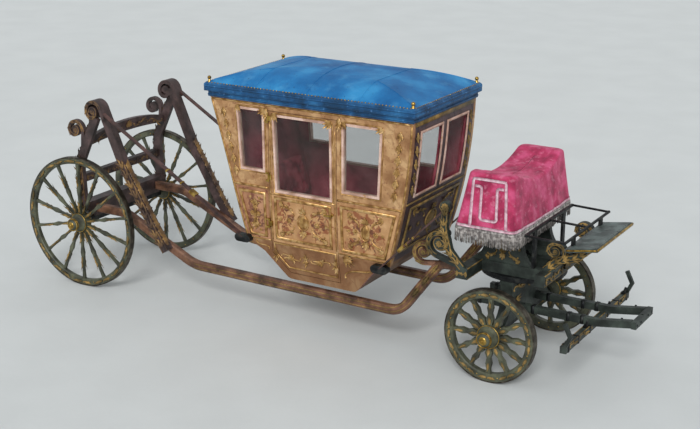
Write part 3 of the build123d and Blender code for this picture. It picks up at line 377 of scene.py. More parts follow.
def middle_of(node):
    """Middle of a CAD node's box."""
    low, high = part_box(node)
    return (low + high) / 2


def xz(point, y=0.0):
    """A complex number of the XZ plane as a vector."""
    return Vector((point.real, y, point.imag))


def flat(points, y=0.0):
    """Complex points of the XZ plane as vectors."""
    return [xz(p, y) for p in points]


def evenly(start, end, count):
    """Points at even steps from start to end."""
    return [start + (end - start) * i / count for i in range(count + 1)]


def turns(count):
    """Even directions all the way round."""
    return [cmath.rect(1.0, math.tau * i / count) for i in range(count)]


def upright(middle, half, foot, head):
    """Corners of an upright rectangle."""
    return laid(middle, (-half, foot), (half, foot), (half, head), (-half, head))


def grown(corners, by):
    """A quadrilateral's corners moved out from its middle."""
    middle = sum(corners) / len(corners)
    ways = [c - middle for c in corners]
    return [c + complex(math.copysign(by, way.real), math.copysign(by, way.imag)) for c, way in zip(corners, ways)]


def bend(start, corner, end, steps):
    """A turn from start to end that leans towards a corner."""
    return [start * (1 - t) ** 2 + corner * 2 * t * (1 - t) + end * t**2 for t in evenly(0.0, 1.0, steps)]


def rounded(corners, radii):
    """A closed outline with its corners rounded."""
    line = []
    for i, (corner, radius) in enumerate(zip(corners, radii)):
        before, after = corners[i - 1] - corner, corners[(i + 1) % len(corners)] - corner
        start, end = corner + before / abs(before) * radius, corner + after / abs(after) * radius
        line += bend(start, corner, end, 6) if radius else [corner]
    return line


def eased(points, radius):
    """An open line with its corners rounded."""
    line = [points[0]]
    for before, corner, after in zip(points, points[1:], points[2:]):
        a, b = before - corner, after - corner
        turn = math.pi - abs(cmath.phase(a / b))
        reach = min(radius * math.tan(turn / 2), 0.49 * abs(a), 0.49 * abs(b))
        line += bend(corner + a / abs(a) * reach, corner, corner + b / abs(b) * reach, 8)
    return line + [points[-1]]


def beside(line, distance):
    """A line moved to its left by a distance."""
    moved = []
    for i, p in enumerate(line):
        ahead = line[min(i + 1, len(line) - 1)] - line[max(i - 1, 0)]
        moved.append(p + (ahead / abs(ahead) * 1j * distance if abs(ahead) > 1e-9 else 0))
    return moved


def spaced(line, gap):
    """Points at even gaps along a line, each with the line's direction there."""
    found, left = [], gap / 2
    for a, b in zip(line, line[1:]):
        length = abs(b - a)
        while left < length:
            found.append((a + (b - a) / length * left, (b - a) / length))
            left += gap
        left -= length
    return found


def stepped(points, gap=0.02):
    """A line of points no further apart than a gap."""
    line = [points[0]]
    for a, b in zip(points, points[1:]):
        line += evenly(a, b, max(1, math.ceil(abs(b - a) / gap)))[1:]
    return line


def cross_line(x, half_width, z):
    """Points of a straight line across the coach."""
    return evenly(Vector((x, -half_width, z)), Vector((x, half_width, z)), 20)


def scroll_line(start, end, winding, opposed):
    """Points of a scroll whose two eyes lie at start and end; opposed winds them opposite ways."""
    points, heading, count = [0j], 0.0, 56
    for i in range(count):
        t = (i + 0.5) / count * 2 - 1
        turn = winding * (0.025 + 0.34 * abs(t) ** 3)
        heading += -turn if opposed and t < 0 else turn
        points.append(points[-1] + cmath.rect(1.04 - abs(t) ** 1.6, heading))
    scale = (end - start) / (points[-1] - points[0])
    return [start + p * scale for p in points]


def wound(start, end, radius, turn):
    """Centre line of one of the frame's scrolls, and its eye: a line, then half turns that wind in."""
    line, at = [start, end], end
    heading = (end - start) / abs(end - start)
    for share in (1, 0.63, 0.36):
        centre = at + heading * 1j * turn * radius * share
        line += [centre + (at - centre) * cmath.exp(1j * turn * math.pi * k / 14) for k in range(1, 15)]
        at, heading = line[-1], -heading
    return line, at + heading * 1j * turn * radius * 0.36


# Shapes

def placed(name, data):
    """Adds an object to the scene."""
    made = bpy.data.objects.new(name, data)
    bpy.context.scene.collection.objects.link(made)
    return made


def put(bm, name, body, slot, *finishes, smooth=True):
    """Makes a finished piece of a mesh: its normals outward, its finishes on, riding on a body."""
    bmesh.ops.remove_doubles(bm, verts=bm.verts, dist=1e-6)
    bmesh.ops.recalc_face_normals(bm, faces=bm.faces)
    mesh = bpy.data.meshes.new(name)
    bm.to_mesh(mesh)
    bm.free()
    for face in mesh.polygons:
        face.use_smooth = smooth
    for finish in finishes:
        mesh.materials.append(mats[finish])
    piece = placed(name, mesh)
    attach(piece, body)
    return piece


def join(bm, part):
    """Adds a mesh to another and frees it."""
    mesh = bpy.data.meshes.new("joined")
    part.to_mesh(mesh)
    part.free()
    bm.from_mesh(mesh)
    bpy.data.meshes.remove(mesh)


def tube(bm, line, radius, closed=False):
    """A bar along a line of points; radius is a number, or one for each point."""
    curve = bpy.data.curves.new("bar", "CURVE")
    curve.dimensions = "3D"
    curve.bevel_depth = 1.0
    curve.bevel_resolution = 1
    curve.use_fill_caps = True
    spline = curve.splines.new("POLY")
    spline.points.add(len(line) - 1)
    spline.use_cyclic_u = closed
    for i, (point, at) in enumerate(zip(spline.points, line)):
        point.co = (*at, 1.0)
        point.radius = radius if isinstance(radius, float) else radius[i]
    bar = bpy.data.objects.new("bar", curve)
    mesh = bpy.data.meshes.new_from_object(bar)
    bm.from_mesh(mesh)
    bpy.data.objects.remove(bar)
    bpy.data.curves.remove(curve)
    bpy.data.meshes.remove(mesh)


def bead(bm, matrix, around, rings):
    """A round form of radius 1, placed and sized by a matrix."""
    part = bmesh.new()
    bmesh.ops.create_uvsphere(part, u_segments=around, v_segments=rings, radius=1.0, matrix=matrix)
    join(bm, part)


def ball(bm, at, radius, squash=1.0):
    """A carved bead, squashed in its relief."""
    bead(bm, Matrix.Translation(at) @ Matrix.Diagonal((radius, radius * squash, radius, 1.0)), 10, 6)


def stud(bm, at, radius, out):
    """A nail head of a few dozen faces."""
    turn = out.to_track_quat("Z", "Y").to_matrix().to_4x4()
    bead(bm, Matrix.Translation(at) @ turn @ Matrix.Diagonal((radius, radius, radius * 0.55, 1.0)), 8, 4)


def leaf(bm, root, way, width, out=LEFT, curl=0.22):
    """A carved leaf from its root along way: lobed edges, raised middle rib, tip curling out."""
    length = abs(way)
    way = xz(way / length)
    side = way.cross(out).normalized()
    part = bmesh.new()
    bmesh.ops.create_grid(part, x_segments=8, y_segments=4, size=0.5)
    for v in part.verts:
        t, s = v.co.x + 0.5, v.co.y * 2
        half = width * (0.12 + math.sin(math.pi * (0.08 + 0.92 * t)) ** 0.8 * (0.8 + 0.2 * math.cos(t * 19)))
        rise = length * (0.05 + 0.07 * (1 - abs(s)) + curl * t**3 - 0.05 * abs(s) * math.sin(t * 12))
        v.co = root + way * (t * length * (1 - 0.12 * abs(s) * t)) + side * (s * half) + out * rise
    bmesh.ops.solidify(part, geom=part.faces[:], thickness=0.004)
    join(bm, part)


def spray(bm, root, angle, length, width, count, spread):
    """Leaves that fan out from one root, longest in the middle."""
    for t in evenly(-1.0, 1.0, count - 1):
        way = cmath.rect(length * (1 - 0.35 * abs(t)), angle + t * spread / 2)
        leaf(bm, xz(root), way, width * (1 - 0.25 * abs(t)))


def rosette(bm, at, radius, petals=8, out=LEFT):
    """A flower of short leaves round a bead."""
    for way in turns(petals):
        leaf(bm, at, way * radius, radius * 0.42, out, 0.1)
    ball(bm, at + out * radius * 0.12, radius * 0.34)


def husks(bm, start, end, width):
    """A drop of husks: leaves one below another, a bead between them."""
    count = max(2, round(abs(end - start) / 0.12))
    step = (end - start) / count
    for root in flat(evenly(start, end, count)[:-1]):
        for turn, length, share in ((-0.5, 0.62, 0.5), (0.0, 0.86, 0.7), (0.5, 0.62, 0.5)):
            leaf(bm, root, step * cmath.rect(length, turn), width * share, curl=0.12)
        ball(bm, root, width * 0.4)


def carved_scroll(bm, start, end, thick, flip=False, winding=1.1, opposed=True, leaves=True):
    """A scroll in relief: thick in the middle, thin at its eyes, each eye a bead, a leaf off its back."""
    line = scroll_line(start, end, winding, opposed)
    if flip:
        way = (end - start) / abs(end - start)
        line = [start + ((p - start) / way).conjugate() * way for p in line]
    count = len(line) - 1
    tube(bm, flat(line), [thick * (0.42 + 0.58 * (1 - abs(t) ** 1.5)) for t in evenly(-1.0, 1.0, count)])
    for eye in (line[0], line[-1]):
        ball(bm, xz(eye), thick * 1.15)
    if leaves:
        middle = line[count // 2]
        for step in (-1, 1):
            ahead = line[count // 2 + step * 9] - middle
            way = cmath.rect(abs(end - start) * 0.36, cmath.phase(ahead) + step * (0.5 if flip else -0.5))
            leaf(bm, xz(middle), way, thick * 1.7)


def outline_face(part, points):
    """One face through points."""
    face = part.faces.new([part.verts.new(p) for p in points])
    face.normal_update()
    return face


def ring_in(part, points, width):
    """A flat ring of a width inside the outline of points."""
    face = outline_face(part, points)
    ring = bmesh.ops.inset_region(part, faces=[face], thickness=width, use_even_offset=True,
                                  use_boundary=True)["faces"]
    bmesh.ops.delete(part, geom=[face], context="FACES_ONLY")
    return ring


def raised(part, faces, way):
    """Extrudes faces and returns their tops."""
    made = bmesh.ops.extrude_face_region(part, geom=faces, use_keep_orig=True)["geom"]
    bmesh.ops.translate(part, verts=[g for g in made if isinstance(g, bmesh.types.BMVert)], vec=way)
    return [g for g in made if isinstance(g, bmesh.types.BMFace)]


def cut_across(part, corners, gap):
    """Cuts a mesh at even heights between its corners, so that it can follow a curved wall."""
    low, high = min(c.imag for c in corners), max(c.imag for c in corners)
    for z in evenly(low, high, int((high - low) / gap) + 1)[1:-1]:
        everything = part.verts[:] + part.edges[:] + part.faces[:]
        bmesh.ops.bisect_plane(part, geom=everything, plane_co=UP * z, plane_no=UP)


def moulding(bm, corners, width, height):
    """A raised moulding round a panel: the outline inset, the ring raised, its top edges sloped in."""
    part = bmesh.new()
    top = raised(part, ring_in(part, flat(corners), width), LEFT * height * 0.55)
    part.normal_update()
    bmesh.ops.inset_region(part, faces=top, thickness=width * 0.3, use_even_offset=True)
    bmesh.ops.translate(part, verts=list({v for face in top for v in face.verts}), vec=LEFT * height * 0.45)
    cut_across(part, corners, 0.09)
    join(bm, part)


def plate(bm, corners, thickness):
    """A thin raised field inside a moulding."""
    part = bmesh.new()
    raised(part, [outline_face(part, flat(corners))], LEFT * thickness)
    cut_across(part, corners, 0.04)
    join(bm, part)


def collar(bm, middle, half_y, half_z, length, thick, turn=0.0):
    """A flat iron band round a square bar that lies along x, or turned from it about the upright."""
    part = bmesh.new()
    outline = upright(0, half_y + thick, -half_z - thick, half_z + thick)
    raised(part, ring_in(part, [(-length / 2, c.real, c.imag) for c in outline], thick), AHEAD * length)
    place = Matrix.Translation(middle) @ Matrix.Rotation(turn, 4, "Z")
    bmesh.ops.transform(part, matrix=place, verts=part.verts)
    join(bm, part)


def panel_carving(bm, centre, half_width, half_height, thick=0.009):
    """Symmetrical carving for one panel: a plain oval boss among scrolls, leaves and flowers."""
    w, h = half_width, half_height
    moulding(bm, [centre + complex(w * 0.24 * t.real, h * 0.46 * t.imag) for t in turns(28)], 0.012, 0.014)
    bead(bm, Matrix.Translation(xz(centre)) @ Matrix.Diagonal((w * 0.19, 0.014, h * 0.37, 1.0)), 24, 10)
    for sx in (-1, 1):
        for sz in (-1, 1):
            start = centre + complex(sx * w * 0.36, sz * h * 0.30)
            end = centre + complex(sx * w * 0.84, sz * h * 0.62)
            carved_scroll(bm, start, end, thick, sx * sz > 0, 1.0, False)
            corner = centre + complex(sx * w * 0.93, sz * h * 0.93)
            spray(bm, corner, cmath.phase(complex(-sx * w, -sz * h)), min(w, h) * 0.42, thick * 2.1, 3, 1.5)
        rosette(bm, xz(centre + sx * w * 0.56), h * 0.17, 6)
        spray(bm, centre + sx * w * 0.86, 0 if sx > 0 else math.pi, w * 0.16, thick * 1.6, 3, 1.4)
    for sz in (-1, 1):
        spray(bm, centre + 1j * sz * h * 0.5, sz * math.pi / 2, h * 0.42, thick * 2, 5, 2.4)


def frieze(bm, start, end, height, thick=0.008):
    """A running band of scrolls and flowers between two points."""
    count = max(1, round(abs(end - start) / (height * 1.9)))
    joints = evenly(start, end, count)
    for i, (left, right) in enumerate(zip(joints, joints[1:])):
        along = right - left
        carved_scroll(bm, left + along * 0.18, left + along * 0.82, thick, i % 2 == 1, 1.15)
        rosette(bm, xz(left + along * 0.5), height * 0.2, 5)
    for at in joints:
        for turn in (1, -1):
            spray(bm, at, turn * math.pi / 2, height * 0.4, thick * 1.6, 3, 1.5)


def press_side(bm, sign, relief=1.0, lift=0.0):
    """Presses flat ornament onto the body's side, which is upright above the belt."""
    for v in bm.verts:
        v.co.y = sign * (face_at(SIDE_CURVE, min(v.co.z, BELT_Z)) + v.co.y * relief + lift)


def press_end(bm, curve, ahead):
    """Presses flat ornament onto the front or rear wall, its x along the wall's width."""
    for v in bm.verts:
        v.co.x, v.co.y = face_at(curve, v.co.z) + ahead * v.co.y, v.co.x


def stand_across(bm, part, x, out=1):
    """Stands flat ornament across the coach on a face that looks ahead, or behind where out is -1."""
    for v in part.verts:
        v.co.x, v.co.y = x + out * v.co.y, v.co.x
    join(bm, part)


def lay_beside(bm, part, sign, y):
    """Lays flat ornament on a face of the frame's right or left side."""
    for v in part.verts:
        v.co.y = sign * (y + v.co.y)
    join(bm, part)


def carve_band(bm, line, width, face_y, out, leaf_gap, fillet=0.007):
    """Carves a flat face of a curved bar: a fillet along each edge, and leaves that overlap between them."""
    for edge in (-1, 1):
        tube(bm, flat(beside(line, edge * (width / 2 - fillet - 0.002)), face_y), fillet)
    for at, way in spaced(line, leaf_gap):
        for turn, length, share, curl in ((-0.55, 0.95, 0.17, 0.10), (0.55, 0.95, 0.17, 0.10),
                                          (0.00, 1.15, 0.15, 0.16)):
            leaf(bm, xz(at, face_y), way * cmath.rect(leaf_gap * length, turn), width * share, out * LEFT, curl)


def carve_scroll(bm, start, end, radius, turn, face_y, out):
    """Carves a scroll of the frame: fillets along both edges of its band and a flower in its eye."""
    line, eye = wound(start, end, radius, turn)
    width = radius * 0.42
    for edge in (-1, 1):
        tube(bm, flat(beside(line[1:], edge * (width / 2 - 0.007)), face_y), 0.0055)
    rosette(bm, xz(eye, face_y), radius * 0.30, 8, out * LEFT)
    for at, way in spaced(line[1:24], radius * 0.75):
        leaf(bm, xz(at, face_y), way * radius * 0.62, width * 0.30, out * LEFT, 0.12)


def edge_leaves(bm, line, width, low_y, high_y, gap, length, side=1):
    """Leaves that sprout from the narrow face of a curved bar and curl away from it."""
    for at, way in spaced(line, gap):
        away = way * 1j * side
        root = xz(at + away * (width / 2 - 0.004), (low_y + high_y) / 2)
        leaf(bm, root, way * length, (high_y - low_y) * 0.5, xz(away), 0.13)


# Coach body: mouldings, painted fields and carving on the doors and the quarter panels

def wall_edge(curve, z, shift):
    """A point of the side's front or rear edge at a height, shifted along the coach."""
    return complex(face_at(curve, z) + shift, z)


def window_bead(bm, corners):
    """A bead round a window, rounded at its upper corners."""
    tube(bm, flat(rounded(grown(corners, 0.013), (0, 0, 0.05, 0.05))), 0.007, closed=True)


BAND = 0.03
FIELD = 0.003
SIDE_MOULDING = (BAND, 0.017)
END_MOULDING = (BAND, 0.016)
CARVING_RELIEF, CARVING_LIFT = 0.8, 0.002
PANEL_FOOT, PANEL_HEAD = 0.962, 1.45
# ways of the sprays in a window's upper corners
DOWN_RIGHT, DOWN_LEFT = -0.7, -2.44
# the panels below the windows, and the windows
door_panel = upright(COACH_X - 0.0975, 0.3405, PANEL_FOOT, 1.425)
front_panel = [complex(COACH_X + 0.345, PANEL_FOOT), wall_edge(FRONT_CURVE, PANEL_FOOT, -0.06),
               wall_edge(FRONT_CURVE, PANEL_HEAD, -0.06), complex(COACH_X + 0.345, PANEL_HEAD)]
rear_panel = [wall_edge(REAR_CURVE, PANEL_FOOT, 0.06), complex(COACH_X - 0.54, PANEL_FOOT),
              complex(COACH_X - 0.54, PANEL_HEAD), wall_edge(REAR_CURVE, PANEL_HEAD, 0.06)]
door_apron = laid(COACH_X, (-0.312, 0.652), (0.280, 0.652), (0.280, 0.925), (-0.474, 0.925), (-0.474, 0.814))
door_window = laid(COACH_X, (-0.420, 1.470), (0.255, 1.470), (0.245, 2.275), (-0.450, 2.275))
quarter_windows = (laid(COACH_X, (-0.840, 1.660), (-0.540, 1.660), (-0.545, 2.310), (-0.884, 2.310)),
                   laid(COACH_X, (0.365, 1.580), (0.790, 1.580), (0.820, 2.285), (0.365, 2.285)))

for side, sign in SIDES.items():
    door = f"door_{side}"
    for name, body, corners, finish in (("door_painted_field", door, door_panel, "painted_door_panel"),
                                        ("front_painted_field", "coach", front_panel, "painted_front_panel"),
                                        ("rear_lacquer_field", "coach", rear_panel, "painted_rear_panel")):
        bm = bmesh.new()
        plate(bm, grown(corners, -BAND), FIELD)
        press_side(bm, sign)
        put(bm, f"{name}_{side}", body, "gilded_panel", finish, smooth=False)

    bm = bmesh.new()
    moulding(bm, door_panel, *SIDE_MOULDING)
    moulding(bm, door_apron, 0.018, 0.010)
    tube(bm, flat(evenly(*laid(COACH_X, (-0.484, 1.447), (0.288, 1.447)), 16)), 0.009)
    for x in (-0.478, 0.284):
        tube(bm, flat(evenly(*laid(COACH_X, (x, 0.95), (x, 2.195)), 15)), 0.006)
    window_bead(bm, door_window)
    press_side(bm, sign)
    put(bm, f"door_mouldings_{side}", door, "gilded_panel", "gilt_carving")

    bm = bmesh.new()
    panel_carving(bm, sum(door_panel) / 4, 0.300, 0.192)
    frieze(bm, *laid(COACH_X, (-0.455, 0.782), (0.260, 0.782)), 0.21)
    for x, angle in ((-0.448, DOWN_RIGHT), (0.244, DOWN_LEFT)):
        spray(bm, complex(COACH_X + x, 2.280), angle, 0.11, 0.016, 5, 1.6)
    press_side(bm, sign, CARVING_RELIEF, CARVING_LIFT)
    put(bm, f"door_carving_{side}", door, "gilded_panel", "gilt_carving")

    bm = bmesh.new()
    moulding(bm, front_panel, *SIDE_MOULDING)
    moulding(bm, rear_panel, *SIDE_MOULDING)
    for curve, post_x, inward in ((FRONT_CURVE, COACH_X + 0.312, -1), (REAR_CURVE, COACH_X - 0.507, 1)):
        for z, radius in ((1.50, 0.012), (0.935, 0.009)):
            tube(bm, flat(evenly(complex(post_x, z), wall_edge(curve, z, inward * 0.012), 12)), radius)
        tube(bm, flat([wall_edge(curve, z, inward * 0.014) for z in evenly(0.90, 2.352, 24)]), 0.012)
    for corners in quarter_windows:
        window_bead(bm, corners)
    tube(bm, flat(evenly(*laid(COACH_X, (-1.18, 2.357), (1.12, 2.357)), 30)), 0.010)
    press_side(bm, sign)
    put(bm, f"side_mouldings_{side}", "coach", "gilded_panel", "gilt_carving")

    bm = bmesh.new()
    for corners in (front_panel, rear_panel):
        panel_carving(bm, sum(corners) / 4, (corners[1] - corners[0]).real / 2 - 0.045, 0.195, 0.0085)
    husks(bm, wall_edge(FRONT_CURVE, 2.27, -0.13), wall_edge(FRONT_CURVE, 1.56, -0.115), 0.030)
    husks(bm, wall_edge(REAR_CURVE, 2.27, 0.125), wall_edge(REAR_CURVE, 1.56, 0.085), 0.026)
    carved_scroll(bm, *laid(COACH_X, (0.37, 0.68), (0.74, 0.885)), 0.011, leaves=False)
    carved_scroll(bm, *laid(COACH_X, (-0.535, 0.835), (-0.690, 0.900)), 0.008, True, leaves=False)
    spray(bm, complex(COACH_X + 0.36, 0.90), -0.3, 0.16, 0.022, 5, 1.6)
    for x, z, angle in ((0.366, 2.290, DOWN_RIGHT), (0.820, 2.290, DOWN_LEFT),
                        (-0.882, 2.314, DOWN_RIGHT), (-0.546, 2.314, DOWN_LEFT)):
        spray(bm, complex(COACH_X + x, z), angle, 0.085, 0.014, 5, 1.6)
    for x in (0.335, -0.522):
        spray(bm, complex(COACH_X + x, 2.340), -math.pi / 2, 0.15, 0.013, 5, 0.7)
    press_side(bm, sign, CARVING_RELIEF, CARVING_LIFT)
    put(bm, f"side_carving_{side}", "coach", "gilded_panel", "gilt_carving")

# End walls: two framed and painted panels on the rear one, a framed panel below two windows on the front one.
# Of each panel: its half width, foot and head, the carving's half sizes and thickness
rear_panels = ((0.53, 0.99, 1.46, 0.47, 0.19, 0.009), (0.58, 1.54, 2.30, 0.50, 0.33, 0.012))
front_panels = ((0.53, 1.02, 1.50, 0.47, 0.20, 0.009),)
for name, finish, curve, ahead, rail_z, rail, panels in (
    ("rear_wall_carving", "gilt_carving", REAR_CURVE, -1, 1.50, 0.012, rear_panels),
    # the front wall's carving takes the dull gear gilding, painted shade like the wall
    ("front_wall_carving", "gear_gilding", FRONT_CURVE, 1, 1.548, 0.011, front_panels),
):
    bm = bmesh.new()
    for half, foot, head, *carving in panels:
        moulding(bm, upright(0, half, foot, head), *END_MOULDING)
        panel_carving(bm, complex(0, (foot + head) / 2), *carving)
    tube(bm, flat(evenly(*laid(0, (-0.62, rail_z), (0.62, rail_z)), 24)), rail)
    plate(bm, upright(0, 0.62, 2.330, 2.377), 0.007)
    press_end(bm, curve, ahead)
    put(bm, name, "coach", "gilded_panel", finish)

for (half, foot, head, *_), name, finish in zip(rear_panels, ("rear_wall_lower_field", "rear_wall_upper_field"),
                                                ("painted_back_panel", "painted_back_upper_panel")):
    bm = bmesh.new()
    plate(bm, grown(upright(0, half, foot, head), -BAND), FIELD)
    press_end(bm, REAR_CURVE, -1)
    put(bm, name, "coach", "gilded_panel", finish, smooth=False)

bm = bmesh.new()
for y in (-0.275, 0.275):
    moulding(bm, upright(y, 0.235, 1.60, 2.27), 0.026, 0.012)
press_end(bm, FRONT_CURVE, 1)
put(bm, "front_window_frames", "coach", "window_frame", "window_frame", smooth=False)

# Corner posts of the front wall, between the side panels and the windows: a drop of husks on each
bm = bmesh.new()
for y in (-0.565, 0.565):
    husks(bm, complex(y, 2.26), complex(y, 1.60), 0.024)
press_end(bm, FRONT_CURVE, 1)
# the husks take the dull gear gilding, painted shade like the front wall
put(bm, "front_wall_husks", "coach", "gilded_panel", "gear_gilding")


# Roof: welts over the seams of the hides, nails round the edge, beads on the cornice

ROOF_X = middle_of("roof_dome").x
dome_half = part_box("roof_dome")[1] - middle_of("roof_dome")
dome = nodes["roof_dome"].data
dome_skin = BVHTree.FromPolygons([v.co for v in dome.vertices], [list(p.vertices) for p in dome.polygons])


def roof_line(start, end):
    """Points on the dome between two places of its plan, given as shares of its half length and half width."""
    over = [Vector((ROOF_X + s.real * dome_half.x, s.imag * dome_half.y, 4.0)) for s in evenly(start, end, 24)]
    found = [dome_skin.ray_cast(at, -UP)[0] for at in over]
    return [p + UP * 0.001 for p in found if p]


WELT = 0.0035
bm = bmesh.new()
for share in (-0.5, 0.0, 0.5):
    tube(bm, roof_line(complex(share, -0.985), complex(share, 0.985)), WELT)
for i in (-1, 1):
    for j in (-1, 1):
        tube(bm, roof_line(complex(i * 0.95, j * 0.93), complex(i * 0.5, j * 0.5)), WELT)
put(bm, "roof_seam_welts", "coach", "roof_leather", "roof_leather")

cornice_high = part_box("cornice")[1]
cornice_half = cornice_high - middle_of("cornice")
NAIL = 0.0075
nail_z = cornice_high.z - 0.002
edge_x, edge_y = cornice_half.x - 0.016, cornice_half.y - 0.016
bm = bmesh.new()
for i in (-1, 1):
    for k in range(-31, 32):
        stud(bm, Vector((ROOF_X + k * edge_x / 32, i * edge_y, nail_z)), NAIL, Vector((0, i, 1)))
    for k in range(-18, 19):
        stud(bm, Vector((ROOF_X + i * edge_x, k * edge_y / 19, nail_z)), NAIL, Vector((i, 0, 1)))
put(bm, "roof_nails", "coach", "brass", "brass")

bm = bmesh.new()
for z, shrink, corner, radius in ((2.452, 0, 0.02, 0.007), (2.488, 0, 0.02, 0.010), (2.397, 0.03, 0.01, 0.010)):
    x, y = cornice_half.x - shrink, cornice_half.y - shrink
    ring = rounded(upright(0, x, -y, y), (corner,) * 4)
    tube(bm, [Vector((ROOF_X + p.real, p.imag, z)) for p in ring], radius, closed=True)
put(bm, "cornice_beads", "coach", "cornice_blue", "cornice_blue")


# Running gear: carving that follows the frame's own curves, a scroll given as its two points, radius and turn

REAR_X = middle_of("rear_axle").x
FRONT_X = middle_of("front_axle").x
STANDARD_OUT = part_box("rear_standards")[1].y
STANDARD_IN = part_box("rear_rails")[1].y
PERCH_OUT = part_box("perches")[1].y

head_scroll = (*laid(REAR_X, (0.366, 1.95), (0.326, 2.06)), 0.100, 1)
upright_scroll = (*laid(REAR_X, (0.04, 1.48), (0.063, 1.78)), 0.096, 1)
upright_line = eased(laid(REAR_X, (0, 0.98), (-0.02, 1.40), (0.25, 1.96)), 0.40)
stay_line = eased(laid(REAR_X, (1.11, 0.56), (0.94, 0.80), (0.56, 1.44), (0.296, 2.06)), 0.40)
bm = bmesh.new()
for sign in (-1, 1):
    out_y, in_y, perch_y = sign * STANDARD_OUT, sign * STANDARD_IN, sign * PERCH_OUT
    carve_band(bm, upright_line[:-2], 0.100, out_y, sign, 0.12)
    carve_scroll(bm, *upright_scroll, out_y, sign)
    carve_scroll(bm, *head_scroll, out_y, sign)
    carve_band(bm, stay_line[:-3], 0.096, in_y, sign, 0.12)
    edge_leaves(bm, upright_line[:12], 0.098, in_y, out_y, 0.10, 0.14)
    edge_leaves(bm, stay_line[:-4], 0.098, perch_y, in_y, 0.10, 0.14, -1)
put(bm, "rear_standard_carving", "coach", "gear_wood", "gear_wood_gilding")

bm = bmesh.new()
rail_low, rail_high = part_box("rear_rails")
for face_x, out in ((rail_low.x, -1), (rail_low.x + 0.07, 1)):
    part = bmesh.new()
    frieze(part, complex(-0.60, 1.23), complex(0.60, 1.23), 0.085, 0.005)
    stand_across(bm, part, face_x, out)
part = bmesh.new()
spray(part, 1.70j, math.pi / 2, 0.085, 0.018, 7, 2.6)
for s in (-1, 1):
    carved_scroll(part, complex(s * 0.10, 1.71), complex(s * 0.34, 1.69), 0.008, s > 0)
    carved_scroll(part, complex(s * 0.37, 1.69), complex(s * 0.60, 1.665), 0.007, s < 0)
stand_across(bm, part, rail_high.x)
part = bmesh.new()
frieze(part, complex(-0.52, 0.868), complex(0.52, 0.868), 0.13)
stand_across(bm, part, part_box("rear_bed")[0].x, -1)
put(bm, "rear_rail_carving", "coach", "gear_wood", "gear_wood_gilding")

# Perches: gilt lines along both faces, leaves on the crane necks
transom_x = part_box("perches")[1].x
neck_x = transom_x - 0.244
perch_points = laid(REAR_X, (0.48, 0.868), (1.41, 0.430)) + laid(neck_x, (-0.44, 0.410), (0, 1.005))
perch_line = eased([*perch_points, complex(transom_x, 1.005)], 0.35)
neck_scroll = (*laid(neck_x, (0.06, 1.005), (-0.17, 0.975)), 0.100, -1)
bm = bmesh.new()
for sign in (-1, 1):
    for face_y, out in ((PERCH_OUT, sign), (PERCH_OUT - 0.080, -sign)):
        for edge in (-1, 1):
            tube(bm, flat(beside(perch_line[6:-6], edge * 0.022), sign * face_y), 0.005)
        for at, way in spaced(perch_line[18:-8], 0.17):
            leaf(bm, xz(at, sign * face_y), way * 0.15, 0.016, out * LEFT, 0.08)
    carve_scroll(bm, *neck_scroll, sign * (PERCH_OUT - 0.014), sign)
put(bm, "perch_carving", "coach", "perch_wood", "gear_gilding")

# Front standards, footboard brackets and seat stand
standard_line = eased(laid(transom_x, (0.06, 1.06), (-0.08, 1.20), (-0.14, 1.42), (-0.13, 1.58)), 0.12)
foot_scroll = (*laid(transom_x, (0.06, 1.07), (-0.21, 1.134)), 0.116, -1)
bracket_x = FRONT_X + 0.37
rod_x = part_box("foot_rails")[1].x - 0.014
bracket_points = laid(bracket_x, (0, 1.07), (0.13, 1.19)) + laid(rod_x, (0.06, 1.24), (0.12, 1.31))
bracket_line = eased(bracket_points, 0.07)
bracket_scroll = (*laid(bracket_x, (0.07, 1.11), (0.16, 1.196)), 0.086, 1)
bracket_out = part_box("foot_brackets")[1].y
bracket_in = bracket_out - 0.06
bm = bmesh.new()
for sign in (-1, 1):
    carve_band(bm, standard_line, 0.066, sign * STANDARD_OUT, sign, 0.10, 0.005)
    rosette(bm, Vector((transom_x - 0.125, sign * STANDARD_OUT, 1.63)), 0.046, 8, sign * LEFT)
    carve_scroll(bm, *foot_scroll, sign * STANDARD_OUT, sign)
    for face_y, out in ((bracket_out, sign), (bracket_in, -sign)):
        carve_band(bm, bracket_line, 0.076, sign * face_y, out, 0.09, 0.005)
        carve_scroll(bm, *bracket_scroll, sign * face_y, out)
    edge_leaves(bm, bracket_line, 0.074, sign * bracket_in, sign * bracket_out, 0.085, 0.09)
    part = bmesh.new()
    panel_carving(part, complex(FRONT_X - 0.069, 1.22), 0.185, 0.14, 0.008)
    lay_beside(bm, part, sign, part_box("seat_stand")[1].y)
put(bm, "fore_gear_carving", "coach", "gear_green", "gear_gilding")

front_bed_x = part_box("front_bed")[1].x
bm = bmesh.new()
part = bmesh.new()
frieze(part, complex(-0.48, 1.005), complex(0.48, 1.005), 0.10, 0.007)
spray(part, 1.00j, math.pi / 2, 0.11, 0.02, 7, 2.8)
stand_across(bm, part, front_bed_x)
for sign in (-1, 1):
    part = bmesh.new()
    frieze(part, *laid(transom_x, (0.015, 1.005), (0.105, 1.005)), 0.08, 0.006)
    lay_beside(bm, part, sign, STANDARD_OUT)
for z in (1.056, 0.955):
    for x, half_width in ((transom_x + 0.004, 0.69), (transom_x + 0.116, 0.69), (front_bed_x - 0.004, 0.51)):
        tube(bm, cross_line(x, half_width, z), 0.006)
put(bm, "front_bed_carving", "coach", "gear_green", "gear_gilding")

